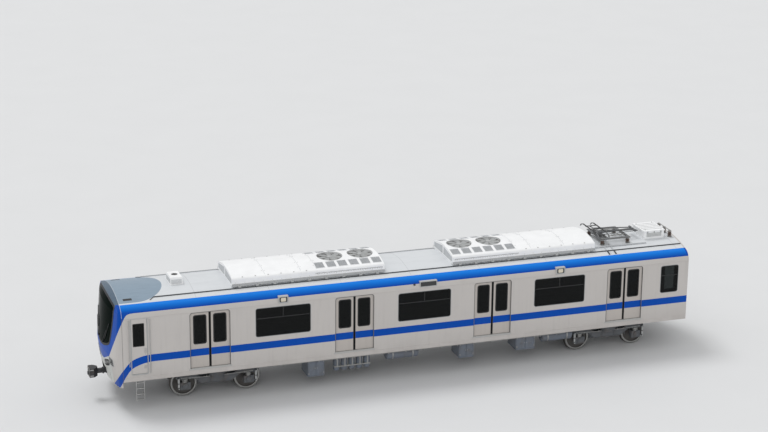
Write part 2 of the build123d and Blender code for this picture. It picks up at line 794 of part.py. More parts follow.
lug_sunk = 10.0
rod_lug = (44.0, 14.0)
with BuildPart() as panto_base:
    with BuildSketch(Plane.XY.offset(panto_frame_z)):
        with Locations((panto_x, 0)):
            Rectangle(2 * (panto_foot[0] + frame_margin[0]), 2 * (panto_foot[1] + frame_margin[0]))
            Rectangle(
                2 * (panto_foot[0] - frame_margin[1]),
                2 * (panto_foot[1] - frame_margin[1]),
                mode=Mode.SUBTRACT,
            )
        with Locations((arm_pivot[0] - 40, 0), (rod_foot[0], 0)):
            Rectangle(frame_bar, 2 * panto_foot[1])
    extrude(amount=panto_frame_thick)
    lug_low = panto_frame_z + panto_frame_thick - lug_sunk
    for y in (-rod_y, rod_y):
        with BuildSketch(Plane.XZ.offset(-y - eye_width / 2)):
            with BuildLine():
                Polyline(
                    (arm_pivot[0] - 75, lug_low),
                    (arm_pivot[0] + 5, lug_low),
                    (arm_pivot[0] + 32, arm_pivot[1]),
                    (arm_pivot[0] + 32, arm_pivot[1] + 32),
                    (arm_pivot[0] - 32, arm_pivot[1] + 32),
                    close=True,
                )
            make_face()
            with Locations(arm_pivot):
                socket(shaft_radius, shaft_gap, pin_sides, mode=Mode.SUBTRACT)
        extrude(amount=eye_width)
    rod_lug_plane = Plane.XZ.offset(shaft_radius - rod_y)
    rod_lug_top = rod_foot[1] + rod_lug[1]
    with BuildSketch(rod_lug_plane):
        with Locations((rod_foot[0], (lug_low + rod_lug_top) / 2)):
            Rectangle(rod_lug[0], rod_lug_top - lug_low)
    extrude(amount=rod_lug[1])
    with BuildSketch(rod_lug_plane):
        with Locations(rod_foot):
            RegularPolygon(rod_pin, pin_sides)
    extrude(amount=-shaft_radius - eye_width / 2 - 4)
save(panto_base, "panto_base")


def tube(start, end, y, radius):
    """A bar in the plane of the arms, between two points given as x and z."""
    direction = (end[0] - start[0], 0, end[1] - start[1])
    with BuildSketch(Plane(origin=(start[0], y, start[1]), z_dir=direction)) as ring:
        RegularPolygon(radius, 8)
    extrude(ring.sketch, amount=math.dist(start, end))


def shaft(place, radius, half_length):
    """A round shaft across the car at a point given as x and z."""
    with BuildSketch(Plane.XZ.offset(half_length)) as ring:
        with Locations(place):
            RegularPolygon(radius, pin_sides)
    extrude(ring.sketch, amount=-2 * half_length)


def hub(place, radius, near, far):
    """A boss round a shaft, from one distance across the car to another."""
    with BuildSketch(Plane.XZ.offset(-near)) as ring:
        with Locations(place):
            RegularPolygon(radius, 8)
    extrude(ring.sketch, amount=near - far)


lower_arm_radius = 34.0
upper_arm_radius = 20.0
upper_arm_y = 150.0
head_shaft = (16.0, 360.0)
tail_plate = (18.0, 40.0, 16.0)
with BuildPart() as panto_lower_arm:
    shaft(arm_pivot, shaft_radius, arm_shaft)
    tube(arm_pivot, knuckle, 0, lower_arm_radius)
    hub(arm_pivot, hub_radius_arm, -hub_inner, hub_inner)
    shaft(knuckle, shaft_radius, knuckle_shaft)
    hub(knuckle, hub_radius_arm, -hub_inner / 2, hub_inner / 2)
save(panto_lower_arm, "panto_lower_arm")

with BuildPart() as panto_upper_arm:
    for side in (1, -1):
        tube(knuckle, head_pivot, side * upper_arm_y, upper_arm_radius)
        hub(knuckle, hub_radius_fork, side * hub_inner, side * hub_outer)
    with BuildSketch(Plane.XZ.offset(knuckle_shaft + 1)):
        with Locations(knuckle):
            socket(shaft_radius, shaft_gap, pin_sides)
    extrude(amount=-2 * (knuckle_shaft + 1), mode=Mode.SUBTRACT)
    with BuildSketch(Plane.XZ.offset(-hub_outer)):
        with Locations(((knuckle[0] + rod_top[0]) / 2, (knuckle[1] + rod_top[1]) / 2)):
            Rectangle(knuckle[0] - rod_top[0] + 2 * tail_plate[0], tail_plate[1])
    extrude(amount=tail_plate[2])
    with BuildSketch(Plane.XZ.offset(-hub_outer)):
        with Locations(rod_top):
            RegularPolygon(rod_pin, pin_sides)
    extrude(amount=-rod_y + hub_outer - eye_width / 2 - 2)
    shaft(head_pivot, *head_shaft)
save(panto_upper_arm, "panto_upper_arm")

strip_half = 540.0
strip_top = 4092.0
strip_thick = 28.0
horn_half = 790.0
horn_tip = 3960.0
horn_knee = (90.0, 4050.0)
bow_offset = 190.0
bow_width = 36.0
carrier_y = 345.0
carrier_width = 20.0
carrier_z = 4055.0
with BuildPart() as collector_head:
    for along in (-bow_offset, bow_offset):
        with BuildSketch(Plane.YZ.offset(head_pivot[0] + along - bow_width / 2)):
            with BuildLine():
                Polyline(
                    (-horn_half, horn_tip),
                    (horn_knee[0] - horn_half, horn_knee[1]),
                    (-strip_half, strip_top),
                    (strip_half, strip_top),
                    (horn_half - horn_knee[0], horn_knee[1]),
                    (horn_half, horn_tip),
                    (horn_half - 26, horn_tip - 10),
                    (horn_half - horn_knee[0] - 15, horn_knee[1] - 22),
                    (strip_half - 10, strip_top - strip_thick),
                    (10 - strip_half, strip_top - strip_thick),
                    (15 + horn_knee[0] - horn_half, horn_knee[1] - 22),
                    (26 - horn_half, horn_tip - 10),
                    close=True,
                )
            make_face()
        extrude(amount=bow_width)
    for y in (-carrier_y, carrier_y):
        with BuildSketch(Plane.XZ.offset(-y - carrier_width / 2)):
            with Locations((head_pivot[0], carrier_z)):
                Rectangle(2 * bow_offset + 20, 30)
            with Locations((head_pivot[0], head_pivot[1] + 10)):
                Rectangle(60, 60)
            with Locations(head_pivot):
                socket(head_shaft[0], shaft_gap, pin_sides, mode=Mode.SUBTRACT)
        extrude(amount=carrier_width)
save(collector_head, "collector_head")

with BuildPart() as panto_rod:
    tube(rod_foot, rod_top, rod_y, rod_radius)
    for place in (rod_foot, rod_top):
        hub(place, rod_eye, rod_y - eye_width / 2, rod_y + eye_width / 2)
    with BuildSketch(Plane.XZ.offset(-rod_y - eye_width / 2)):
        with Locations(rod_foot):
            socket(rod_pin, shaft_gap, pin_sides)
        with Locations(rod_top):
            socket(rod_pin, rod_slack, pin_sides)
    extrude(amount=eye_width, mode=Mode.SUBTRACT)
save(panto_rod, "panto_rod")

# High-voltage box with its lid
roof_box_x = mid_x - 8780.0
roof_box_size = (760.0, 900.0)
roof_lid_over = 20.0
roof_lid_low = 3910.0
roof_lid_thick = 40.0
with BuildPart() as roof_box:
    with Locations((roof_box_x, 0, insulator_low)):
        Box(*roof_box_size, roof_lid_low - insulator_low, align=(Align.CENTER, Align.CENTER, Align.MIN))
    with Locations((roof_box_x, 0, roof_lid_low)):
        Box(
            roof_box_size[0] + 2 * roof_lid_over,
            roof_box_size[1] + 2 * roof_lid_over,
            roof_lid_thick,
            align=(Align.CENTER, Align.CENTER, Align.MIN),
        )
    seat_on_roof()
save(roof_box, "roof_box")

# Couplers: a clevis under the floor at each end, and the bar that swings on its pin
pocket_half = 220.0
pocket_length = 420.0
pocket_shift = 60.0
pocket_low = coupler_z - 130.0
pocket_mouth = (400.0, 170.0, 40.0)
pin_top = coupler_z + 120.0
bar_size = 130.0
bar_boss = 100.0
with BuildPart() as coupler_pockets:
    for pivot, way in ((coupler_pivot, 1), (rear_pivot, -1)):
        with BuildSketch(Plane.XZ.offset(-pocket_half)):
            with Locations((mid_x + pivot - way * pocket_shift, (floor_bottom + pocket_low) / 2)):
                Rectangle(pocket_length, floor_bottom - pocket_low)
            with Locations((mid_x + pivot + way * pocket_mouth[2], coupler_z)):
                Rectangle(pocket_mouth[0], pocket_mouth[1], mode=Mode.SUBTRACT)
        extrude(amount=2 * pocket_half)
        post_hole(mid_x + pivot, 0, pocket_low, floor_bottom, pin_radius, pin_gap, pin_sides)
save(coupler_pockets, "coupler_pockets")

head_back = 210.0
head_size = (360.0, 300.0)
head_face = 60.0
head_neck = 120.0
cone = (95.0, 75.0, 20.0)
funnel = (95.0, 78.0, 90.0)
with BuildPart() as coupler_front:
    post(mid_x + coupler_pivot, 0, pocket_low, pin_top, pin_radius, pin_sides)
    post(mid_x + coupler_pivot, 0, coupler_z - bar_size / 2, coupler_z + bar_size / 2, bar_boss, pin_sides)
    with BuildSketch(Plane.XY.offset(coupler_z - bar_size / 2)):
        with Locations((mid_x + (coupler_pivot + coupler_tip - head_back) / 2, 0)):
            Rectangle(coupler_tip - head_back - coupler_pivot, bar_size)
    extrude(amount=bar_size)
    head_outline = [
        (mid_x + coupler_tip - head_back - head_neck, bar_size / 2),
        (mid_x + coupler_tip - head_back, head_size[0] / 2),
        (mid_x + coupler_tip - head_face, head_size[0] / 2),
    ]
    with BuildSketch(Plane.XY.offset(coupler_z - head_size[1] / 2)):
        with BuildLine():
            Polyline(*head_outline, *[(x, -y) for x, y in reversed(head_outline)], close=True)
        make_face()
    extrude(amount=head_size[1])
    with BuildSketch(Plane.YZ.offset(mid_x + coupler_tip - head_face)):
        with Locations((cone[0], coupler_z)):
            Circle(cone[1])
    extrude(amount=head_face, taper=cone[2])
    with BuildSketch(Plane.YZ.offset(mid_x + coupler_tip - head_face)):
        with Locations((-funnel[0], coupler_z)):
            Circle(funnel[1])
    extrude(amount=-funnel[2], mode=Mode.SUBTRACT)
save(coupler_front, "coupler_front")

drawbar_face = (120.0, 40.0)
with BuildPart() as coupler_rear:
    post(mid_x + rear_pivot, 0, pocket_low, pin_top, pin_radius, pin_sides)
    post(mid_x + rear_pivot, 0, coupler_z - bar_size / 2, coupler_z + bar_size / 2, bar_boss, pin_sides)
    with BuildSketch(Plane.XY.offset(coupler_z - bar_size / 2)):
        with Locations((mid_x + (rear_pivot + rear_tip) / 2, 0)):
            Rectangle(rear_pivot - rear_tip, bar_size)
    extrude(amount=bar_size)
    with BuildSketch(Plane.YZ.offset(mid_x + rear_tip)):
        with Locations((0, coupler_z)):
            RegularPolygon(drawbar_face[0], pin_sides)
    extrude(amount=drawbar_face[1])
save(coupler_rear, "coupler_rear")

# Underfloor equipment, hung from the floor
# offset from the middle, length, inner y, outer y, bottom
box_table = [
    (3675.0, 560.0, 700.0, 1420.0, 408.0),
    (-1560.0, 520.0, 700.0, 1420.0, 455.0),
    (-3685.0, 680.0, 700.0, 1420.0, 500.0),
]
with BuildPart() as equipment_boxes:
    for x, length, near, far, bottom in box_table:
        with BuildSketch(Plane.XY.offset(floor_bottom)):
            for side in (1, -1):
                with Locations((mid_x + x, side * (near + far) / 2)):
                    Rectangle(length, far - near)
        extrude(amount=bottom - floor_bottom)
save(equipment_boxes, "equipment_boxes")

reservoir_count = 5
reservoir_first = 2920.0
reservoir_pitch = 260.0
reservoir_y = 1200.0
reservoir_low = 500.0
reservoir_radius = 105.0
with BuildPart() as brake_reservoirs:
    for side in (1, -1):
        for index in range(reservoir_count):
            x = mid_x + reservoir_first - reservoir_pitch * index
            post(x, side * reservoir_y, reservoir_low, floor_bottom, reservoir_radius, 12)
save(brake_reservoirs, "brake_reservoirs")

tank_radius = 190.0
tank_length = 1000.0
tank_offsets = (650.0, -4900.0)
tank_spot = (1150.0, 800.0)
tank_hanger = (50.0, 60.0, 350.0)
with BuildPart() as air_tanks:
    for side in (1, -1):
        for offset in tank_offsets:
            with BuildSketch(Plane.YZ.offset(mid_x + offset - tank_length / 2)):
                with Locations((side * tank_spot[0], tank_spot[1])):
                    RegularPolygon(tank_radius, 16)
            extrude(amount=tank_length)
            for along in (-tank_hanger[2], tank_hanger[2]):
                with BuildSketch(Plane.XY.offset(tank_spot[1])):
                    with Locations((mid_x + offset + along, side * tank_spot[0])):
                        Rectangle(tank_hanger[0], tank_hanger[1])
                extrude(amount=floor_bottom - tank_spot[1])
save(air_tanks, "air_tanks")

# Wheelsets: two turned wheels, dished on the outside, on an axle with its journals, in one piece
wheel_inner = wheel_back_gap / 2
wheel_outer = wheel_inner + wheel_width
journal_end = side_frame_y + 90.0
dish_sides = 24
axle_sides = 16
axle_bite = 10.0
# distance from the middle, radius
wheel_profile = [
    (wheel_inner, 0),
    (wheel_inner, flange_radius),
    (wheel_inner + flange_width, wheel_radius),
    (wheel_outer, wheel_radius),
    (wheel_outer, 0),
]


def cross_bar(x, start, end, radius, sides, mode=Mode.ADD):
    """A many-sided bar across the car on the wheels' axis."""
    with BuildSketch(Plane.XZ.offset(-start)) as ring:
        with Locations((x, axle_z)):
            RegularPolygon(radius, sides)
    extrude(ring.sketch, amount=start - end, mode=mode)


number = 0
for bogie_name, station in bogie_stations.items():
    for along in (wheelbase / 2, -wheelbase / 2):
        number += 1
        axle_x = station + along
        with BuildPart() as wheelset:
            for side in (1, -1):
                with BuildSketch(Plane(origin=(axle_x, 0, axle_z), x_dir=(0, 1, 0), z_dir=(1, 0, 0))):
                    with BuildLine():
                        Polyline(*[(side * y, r) for y, r in wheel_profile], close=True)
                    make_face()
            revolve(axis=Axis((axle_x, 0, axle_z), (0, 1, 0)))
            for side in (1, -1):
                dish_floor = side * (wheel_outer - web_dish)
                dish_radius = wheel_radius - rim_depth
                cross_bar(axle_x, dish_floor, side * wheel_outer, dish_radius, dish_sides, Mode.SUBTRACT)
                journal_root = dish_floor - side * axle_bite
                cross_bar(axle_x, journal_root, side * journal_end, journal_radius, axle_sides)
            cross_bar(axle_x, -wheel_inner - axle_bite, wheel_inner + axle_bite, axle_radius, axle_sides)
        save(wheelset, f"wheelset_{number}")

# Bogies: H-frame with its motors and brake units, then axle boxes with springs, air springs and dampers
frame_half = 1330.0
frame_waist_top = 700.0
frame_end_top = 800.0
frame_belly = 480.0
spring_seat = 685.0
frame_kinks = (450.0, 480.0, 700.0, 760.0)
transom = (480.0, 500.0, 170.0)
motor_size = (380.0, 620.0, 380.0)
motor_spot = (430.0, 250.0, 470.0)
brake_length = 200.0
brake_height = 200.0
brake_mid_z = 700.0
brake_offset = 600.0
brake_inner = 700.0
brake_arm = (40.0, 60.0)
brake_shoe = (26.0, 70.0, 180.0)
shoe_gap = 9.0
air_spring_radius = 250.0
air_spring_gap = 0.3
side_frame_outer = side_frame_y + side_frame_width / 2
side_frame_inner = side_frame_y - side_frame_width / 2
box_size = (330.0, 240.0, 200.0)
box_outer = side_frame_y + 110.0
box_end = 15.0
spring_radius = 80.0
damper_x = 225.0
damper_y = 1136.0
damper_radius = 26.0
damper_heights = (392.0, 765.0)
damper_lug = (44.0, 56.0)
for name, station in bogie_stations.items():
    with BuildPart() as frame:
        inner_kink, belly_kink, outer_kink, seat_kink = frame_kinks
        for side in (1, -1):
            with BuildSketch(Plane.XZ.offset(-side * side_frame_outer)):
                with BuildLine():
                    Polyline(
                        (station - frame_half, frame_end_top),
                        (station - outer_kink, frame_end_top),
                        (station - inner_kink, frame_waist_top),
                        (station + inner_kink, frame_waist_top),
                        (station + outer_kink, frame_end_top),
                        (station + frame_half, frame_end_top),
                        (station + frame_half, spring_seat),
                        (station + seat_kink, spring_seat),
                        (station + belly_kink, frame_belly),
                        (station - belly_kink, frame_belly),
                        (station - seat_kink, spring_seat),
                        (station - frame_half, spring_seat),
                        close=True,
                    )
                make_face()
            extrude(amount=side * side_frame_width)
            for way in (1, -1):
                wheel_x = station + way * wheelbase / 2
                brake_x = wheel_x - way * brake_offset
                brake_width = side_frame_inner - brake_inner
                with Locations((brake_x, side * (side_frame_inner - brake_width / 2), brake_mid_z)):
                    Box(brake_length, brake_width, brake_height)
                shoe_x = wheel_x - way * (wheel_radius + shoe_gap + brake_shoe[0] / 2)
                shoe_y = side * (wheel_inner + flange_width + shoe_gap + brake_shoe[1] / 2)
                with BuildSketch(Plane.XY.offset(frame_belly)):
                    with Locations((shoe_x, shoe_y)):
                        Rectangle(brake_shoe[0], brake_shoe[1])
                extrude(amount=brake_shoe[2])
                with Locations(((brake_x + shoe_x) / 2, shoe_y, brake_mid_z - brake_height / 2)):
                    Box(abs(brake_x - shoe_x), brake_arm[0], brake_arm[1])
        with BuildSketch(Plane.XY.offset(transom[1])):
            with Locations((station, 0)):
                Rectangle(transom[0], 2 * side_frame_y)
                socket(yaw_pin_radius, yaw_pin_gap, yaw_pin_sides, mode=Mode.SUBTRACT)
        extrude(amount=transom[2])
        for way in (1, -1):
            with Locations((station + way * motor_spot[0], way * motor_spot[1], motor_spot[2])):
                Box(*motor_size)
    save(frame, f"bogie_frame_{name}")

    with BuildPart() as suspension:
        for way in (1, -1):
            axle_x = station + way * wheelbase / 2
            for side in (1, -1):
                with BuildSketch(Plane.XZ.offset(-side * box_outer)):
                    with Locations((axle_x, axle_z)):
                        Rectangle(box_size[0], box_size[1])
                extrude(amount=side * box_size[2])
                with BuildSketch(Plane.XZ.offset(-side * (box_outer - box_end))):
                    with Locations((axle_x, axle_z)):
                        socket(journal_radius, journal_gap, axle_sides)
                extrude(amount=side * (box_size[2] - box_end), mode=Mode.SUBTRACT)
                post(axle_x, side * side_frame_y, axle_z + box_size[1] / 2, spring_seat, spring_radius)
                damper_place = (axle_x + way * damper_x, side * damper_y)
                post(*damper_place, *damper_heights, damper_radius)
                for height in (damper_heights[0] + damper_lug[1] / 2, damper_heights[1] - damper_lug[1] / 2):
                    reach = box_size[0] / 2 if height < spring_seat else damper_x - damper_lug[0] / 2
                    lug_x = axle_x + way * (reach + damper_x + damper_lug[0] / 2) / 2
                    lug_length = damper_x + damper_lug[0] / 2 - reach
                    near = side_frame_outer if height > spring_seat else side_frame_y + 40
                    with Locations((lug_x, side * (near + damper_y) / 2, height)):
                        Box(lug_length, damper_y - near, damper_lug[1])
        for side in (1, -1):
            post(
                station,
                side * side_frame_y,
                frame_waist_top,
                air_spring_top - air_spring_gap,
                air_spring_radius,
                16,
            )
    save(suspension, f"suspension_{name}")
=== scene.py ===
import math
from itertools import product
import bmesh
import bpy
from mathutils import Matrix, Vector


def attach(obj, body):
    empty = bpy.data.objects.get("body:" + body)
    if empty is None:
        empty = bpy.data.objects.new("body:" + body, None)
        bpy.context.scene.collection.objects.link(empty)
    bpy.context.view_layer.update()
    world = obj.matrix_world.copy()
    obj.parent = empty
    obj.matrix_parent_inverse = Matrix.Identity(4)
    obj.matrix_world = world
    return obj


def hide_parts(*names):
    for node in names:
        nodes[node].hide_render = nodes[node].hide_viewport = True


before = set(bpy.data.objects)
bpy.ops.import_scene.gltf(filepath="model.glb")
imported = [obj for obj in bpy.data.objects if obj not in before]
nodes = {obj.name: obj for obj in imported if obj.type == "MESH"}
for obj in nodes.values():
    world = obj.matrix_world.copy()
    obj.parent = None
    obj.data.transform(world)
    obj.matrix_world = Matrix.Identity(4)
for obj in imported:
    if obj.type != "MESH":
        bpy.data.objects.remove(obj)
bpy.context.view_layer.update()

scene = bpy.context.scene

# Stations of the car, in metres, as in the solids: +X to the cab, +Y to its left, +Z up
MID = -0.535
HALF = 1.56
SIDE_TOP, ROOF_TOP = 3.128, 3.678
SHOULDER = 0.35
FLOOR = 1.228
REAR, JOINT = MID - 9.59, MID + 10.03
GUTTER_Y = 0.99
DOOR_PITCH = 4.81
DOORS = [MID + DOOR_PITCH * k for k in (1.5, 0.5, -0.5, -1.5)]
LEAF_MID, LEAF_WINDOW_Z = 0.325, 2.513
WINDOWS = [(MID + DOOR_PITCH, 1.82), (MID, 1.82), (MID - DOOR_PITCH, 1.82), (MID - 8.885, 0.65)]
WINDOW_Z, WINDOW_H = 2.535, 0.961
CAB_DOOR_X, CAB_WINDOW_X, CAB_WINDOW_Z = MID + 9.495, MID + 9.515, 2.553
BOGIES = {"front": MID + 6.9, "rear": MID - 6.9}
AXLE_REACH, AXLE_Z = 1.05, 0.458
PANTO_X, BUSBAR_X, ROOF_BOX_X = MID - 7.26, MID - 9.39, MID - 8.78
COUPLER_Z, COUPLER_TIP = 0.888, MID + 10.92
RISE = ROOF_TOP - SIDE_TOP
CROWN = ((HALF - SHOULDER) ** 2 + RISE**2 - SHOULDER**2) / (2 * (RISE - SHOULDER))
CROWN_Z = ROOF_TOP - CROWN
SIDES, AS_IS = (1, -1), (1,)
SIDE_NAMES = (("left", 1), ("right", -1))


def roof_z(y):
    """Height of the roof's outer surface at a distance from the centre line."""
    lean = math.atan2(HALF - SHOULDER, SIDE_TOP - CROWN_Z)
    if abs(y) < CROWN * math.sin(lean):
        return CROWN_Z + math.sqrt(CROWN**2 - y * y)
    return SIDE_TOP + math.sqrt(max(SHOULDER**2 - (abs(y) - HALF + SHOULDER) ** 2, 0.0))


# Camera, floor and light
CAMERA_PLACE = (19.8816, 57.772, 24.4319)
CAMERA_TURN, CAMERA_DOWN, CAMERA_ROLL = 3.467215, 0.305354, 0.009470
CAMERA_FOCAL, PICTURE_WIDTH, SENSOR = 1938.21, 768.0, 36.0


def look():
    """Sets the camera from its place, its turn about the vertical, its dip and its roll."""
    level = math.cos(CAMERA_DOWN)
    ahead = Vector((math.sin(CAMERA_TURN) * level, math.cos(CAMERA_TURN) * level, -math.sin(CAMERA_DOWN)))
    right = ahead.cross(Vector((0, 0, 1))).normalized()
    up = right.cross(ahead)
    side = right * math.cos(CAMERA_ROLL) + up * math.sin(CAMERA_ROLL)
    top = up * math.cos(CAMERA_ROLL) - right * math.sin(CAMERA_ROLL)
    data = bpy.data.cameras.new("camera")
    data.sensor_width = SENSOR
    data.lens = CAMERA_FOCAL * SENSOR / PICTURE_WIDTH
    data.clip_start, data.clip_end = 0.5, 800.0
    cam = bpy.data.objects.new("camera", data)
    scene.collection.objects.link(cam)
    cam.matrix_world = Matrix.Translation(CAMERA_PLACE) @ Matrix((side, top, -ahead)).transposed().to_4x4()
    scene.camera = cam


look()
scene.view_settings.view_transform = "Standard"

world = bpy.data.worlds.new("studio")
scene.world = world
world.use_nodes = True
world.node_tree.nodes["Background"].inputs["Color"].default_value = (1.0, 1.0, 1.0, 1.0)
world.node_tree.nodes["Background"].inputs["Strength"].default_value = 0.72


def sun(name, direction, strength, angle):
    lamp = bpy.data.lights.new(name, "SUN")
    lamp.energy = strength
    lamp.angle = math.radians(angle)
    obj = bpy.data.objects.new(name, lamp)
    scene.collection.objects.link(obj)
    obj.rotation_mode = "QUATERNION"
    obj.rotation_quaternion = Vector(direction).to_track_quat("-Z", "Y")


sun("key", (-0.25, 0.45, -1.0), 1.15, 22)
sun("fill", (-0.45, -1.0, -0.55), 0.45, 35)


# Colour helpers
def rgb(*levels):
    """A colour given from 0 to 255 as a screen shows it, as the shader's linear values."""
    shares = [level / 255 for level in levels]
    return tuple(c / 12.92 if c <= 0.04045 else ((c + 0.055) / 1.055) ** 2.4 for c in shares)


class Wire:
    """A value in a material's node tree, with plain arithmetic."""

    def __init__(self, tree, out):
        self.tree, self.out = tree, out

    def op(self, kind, other=0.0, third=0.0, clamp=False):
        node = self.tree.nodes.new("ShaderNodeMath")
        node.operation = kind
        node.use_clamp = clamp
        for slot, value in enumerate((self, other, third)):
            if isinstance(value, Wire):
                self.tree.links.new(value.out, node.inputs[slot])
            elif slot < len(node.inputs):
                node.inputs[slot].default_value = value
        return Wire(self.tree, node.outputs[0])

    def __invert__(self):
        return self.op("MULTIPLY_ADD", -1.0, 1.0)

    def size(self):
        return self.op("ABSOLUTE")

    def between(self, low, high):
        return (self > low) & (self < high)

    def ramp(self, low, high):
        """0 at low and below, 1 at high and above."""
        return ((self - low) * (1.0 / (high - low))).op("ADD", 0.0, clamp=True)

    def follow(self, points):
        """A smooth curve through points (input, output)."""
        xs, ys = zip(*points)
        x0, x1, y0, y1 = min(xs), max(xs), min(ys), max(ys)
        node = self.tree.nodes.new("ShaderNodeFloatCurve")
        curve = node.mapping.curves[0]
        flat = [((x - x0) / (x1 - x0), (y - y0) / (y1 - y0)) for x, y in points]
        curve.points[0].location = flat[0]
        curve.points[-1].location = flat[-1]
        for x, y in flat[1:-1]:
            curve.points.new(x, y)
        node.mapping.update()
        node.inputs["Factor"].default_value = 1.0
        self.tree.links.new(self.ramp(x0, x1).out, node.inputs["Value"])
        return Wire(self.tree, node.outputs[0]) * (y1 - y0) + y0


OPERATORS = {
    "add": "ADD", "sub": "SUBTRACT", "mul": "MULTIPLY", "truediv": "DIVIDE",
    "gt": "GREATER_THAN", "lt": "LESS_THAN", "and": "MULTIPLY", "or": "MAXIMUM",
}
for word, kind in OPERATORS.items():
    setattr(Wire, f"__{word}__", lambda self, other, kind=kind: self.op(kind, other))


class Finish:
    """One material: a base colour, things painted over it, and a surface."""

    def __init__(self, name, colour, rough=0.45, metal=0.0, coat=0.0, ior=1.5, level=0.5):
        self.mat = bpy.data.materials.new(name)
        self.mat.use_nodes = True
        self.tree = self.mat.node_tree
        self.shader = self.tree.nodes["Principled BSDF"]
        for socket, value in (
            ("Metallic", metal), ("Coat Weight", coat), ("Coat Roughness", 0.08), ("IOR", ior),
            ("Specular IOR Level", level),
        ):
            self.shader.inputs[socket].default_value = value
        self.place = self.tree.nodes.new("ShaderNodeTexCoord").outputs["Object"]
        parts = self.tree.nodes.new("ShaderNodeSeparateXYZ")
        self.tree.links.new(self.place, parts.inputs[0])
        self.x, self.y, self.z = (Wire(self.tree, parts.outputs[i]) for i in range(3))
        start = self.tree.nodes.new("ShaderNodeRGB")
        start.outputs[0].default_value = (*colour, 1.0)
        self.colour = start.outputs[0]
        self.rough = None
        self.base_rough = rough
        self.mat.diffuse_color = (*colour, 1.0)

    def noise(self, scale, detail=3.0, stretch=(1, 1, 1), rough=0.55):
        spread = self.tree.nodes.new("ShaderNodeMapping")
        spread.inputs["Scale"].default_value = stretch
        self.tree.links.new(self.place, spread.inputs["Vector"])
        node = self.tree.nodes.new("ShaderNodeTexNoise")
        node.inputs["Scale"].default_value = scale
        node.inputs["Detail"].default_value = detail
        node.inputs["Roughness"].default_value = rough
        self.tree.links.new(spread.outputs[0], node.inputs["Vector"])
        return Wire(self.tree, node.outputs["Fac"])

    def paint(self, where, colour, blend="MIX"):
        """Covers the colour where the mask is 1."""
        mix = self.tree.nodes.new("ShaderNodeMix")
        mix.data_type = "RGBA"
        mix.blend_type = blend
        self.tree.links.new(where.out, mix.inputs["Factor"])
        self.tree.links.new(self.colour, mix.inputs["A"])
        mix.inputs["B"].default_value = (*colour, 1.0)
        self.colour = mix.outputs["Result"]

    def shade(self, amount, low=0.0):
        """Darkens the colour by a varying amount."""
        self.paint(amount, (low, low, low), "MULTIPLY")

    def bump(self, height, distance=0.002, strength=0.35):
        node = self.tree.nodes.new("ShaderNodeBump")
        node.inputs["Distance"].default_value = distance
        node.inputs["Strength"].default_value = strength
        self.tree.links.new(height.out, node.inputs["Height"])
        self.tree.links.new(node.outputs[0], self.shader.inputs["Normal"])

    def done(self, spread=0.12):
        self.tree.links.new(self.colour, self.shader.inputs["Base Color"])
        level = self.noise(9.0, 4.0) * spread + (self.base_rough - spread / 2)
        if self.rough is not None:
            level = level + self.rough
        self.tree.links.new(level.out, self.shader.inputs["Roughness"])
        return self.mat


WHITE = rgb(194, 190, 187)
# Painted light: a lighter white for the front panel, standing in for the panel facing the light.
BIB_PAINTED_LIGHT = rgb(202, 204, 201)
ROOF = rgb(208, 211, 214)
BLUE = rgb(0, 73, 170)
# A lighter blue for the top of the band, a painted reflection of the sky in the glossy paint.
SHEEN_BLUE = rgb(0, 119, 218)
SLATE = rgb(136, 153, 168)
DEEP_SLATE = rgb(88, 104, 120)
LEAF = rgb(186, 180, 175)
BLACK = rgb(18, 19, 21)

# Lower edge of the blue round the cab's side, and the waist stripe's edges, each as (station, height)
CAB_EDGE = [
    (9.0, 3.285), (9.15, 3.283), (9.27, 3.27), (9.35, 3.235), (9.42, 3.15),
    (9.48, 3.03), (9.61, 2.755), (9.74, 2.44), (9.85, 2.17), (9.96, 1.88),
]
STRIPE_TOP = [
    (8.45, 1.864), (8.75, 1.848), (9.0, 1.795), (9.215, 1.70), (9.485, 1.42), (9.765, 1.05), (9.95, 0.80),
]
STRIPE_LOW = [
    (8.45, 1.625), (8.72, 1.606), (8.95, 1.55), (9.215, 1.425), (9.376, 1.24), (9.535, 0.975), (9.66, 0.78),
]

# Half width of the front panel at a height, and the lower edge of its blue at a distance from the middle
PANEL_EDGE = [(0.83, 1.05), (1.19, 1.09), (1.77, 0.99), (2.33, 0.99), (2.85, 1.15), (3.4, 1.20)]
BOWL_EDGE = [(0.0, 1.39), (0.25, 1.425), (0.5, 1.52), (1.0, 1.73), (1.25, 1.80)]

# How far ahead and how far up the near edge of a painted line moves for each metre inwards round the nose
NOSE_AHEAD, NOSE_RISE = 0.177, 0.402


def weathering(f, low=0.30):
    """Soft streaks down the walls, dust towards the sills, and a faint unevenness of the paint."""
    streaks = f.noise(1.0, 5.0, (9.0, 9.0, 0.55)).ramp(0.52, 0.80) * 0.10
    patches = f.noise(0.7, 3.0).ramp(0.35, 0.75) * 0.05
    dust = (~f.z.ramp(0.95, 1.5)) * f.noise(3.0, 5.0).ramp(0.25, 0.75) * 0.22
    f.shade(streaks + patches, low)
    f.paint(dust, rgb(120, 112, 104))
    f.rough = dust * 0.8 + streaks
    f.bump(f.noise(3.0, 2.0) + f.noise(160.0, 2.0) * 0.05, 0.004, 0.25)
    return f.done()


def body_paint(name, colour, wall=1.40, behind=REAR - 1.0):
    """The side's colour with its blue, ahead of a station and outside a distance from the centre line."""
    f = Finish(name, colour, rough=0.40, ior=1.33, level=0.25)
    flank = (f.y.size() > wall) & (f.x > behind)
    stripe = (f.z < f.x.follow(STRIPE_TOP)) & (f.z > f.x.follow(STRIPE_LOW))
    f.paint(stripe & flank, BLUE)
    f.paint((f.z > f.x.follow(CAB_EDGE)) & flank, BLUE)
    return f


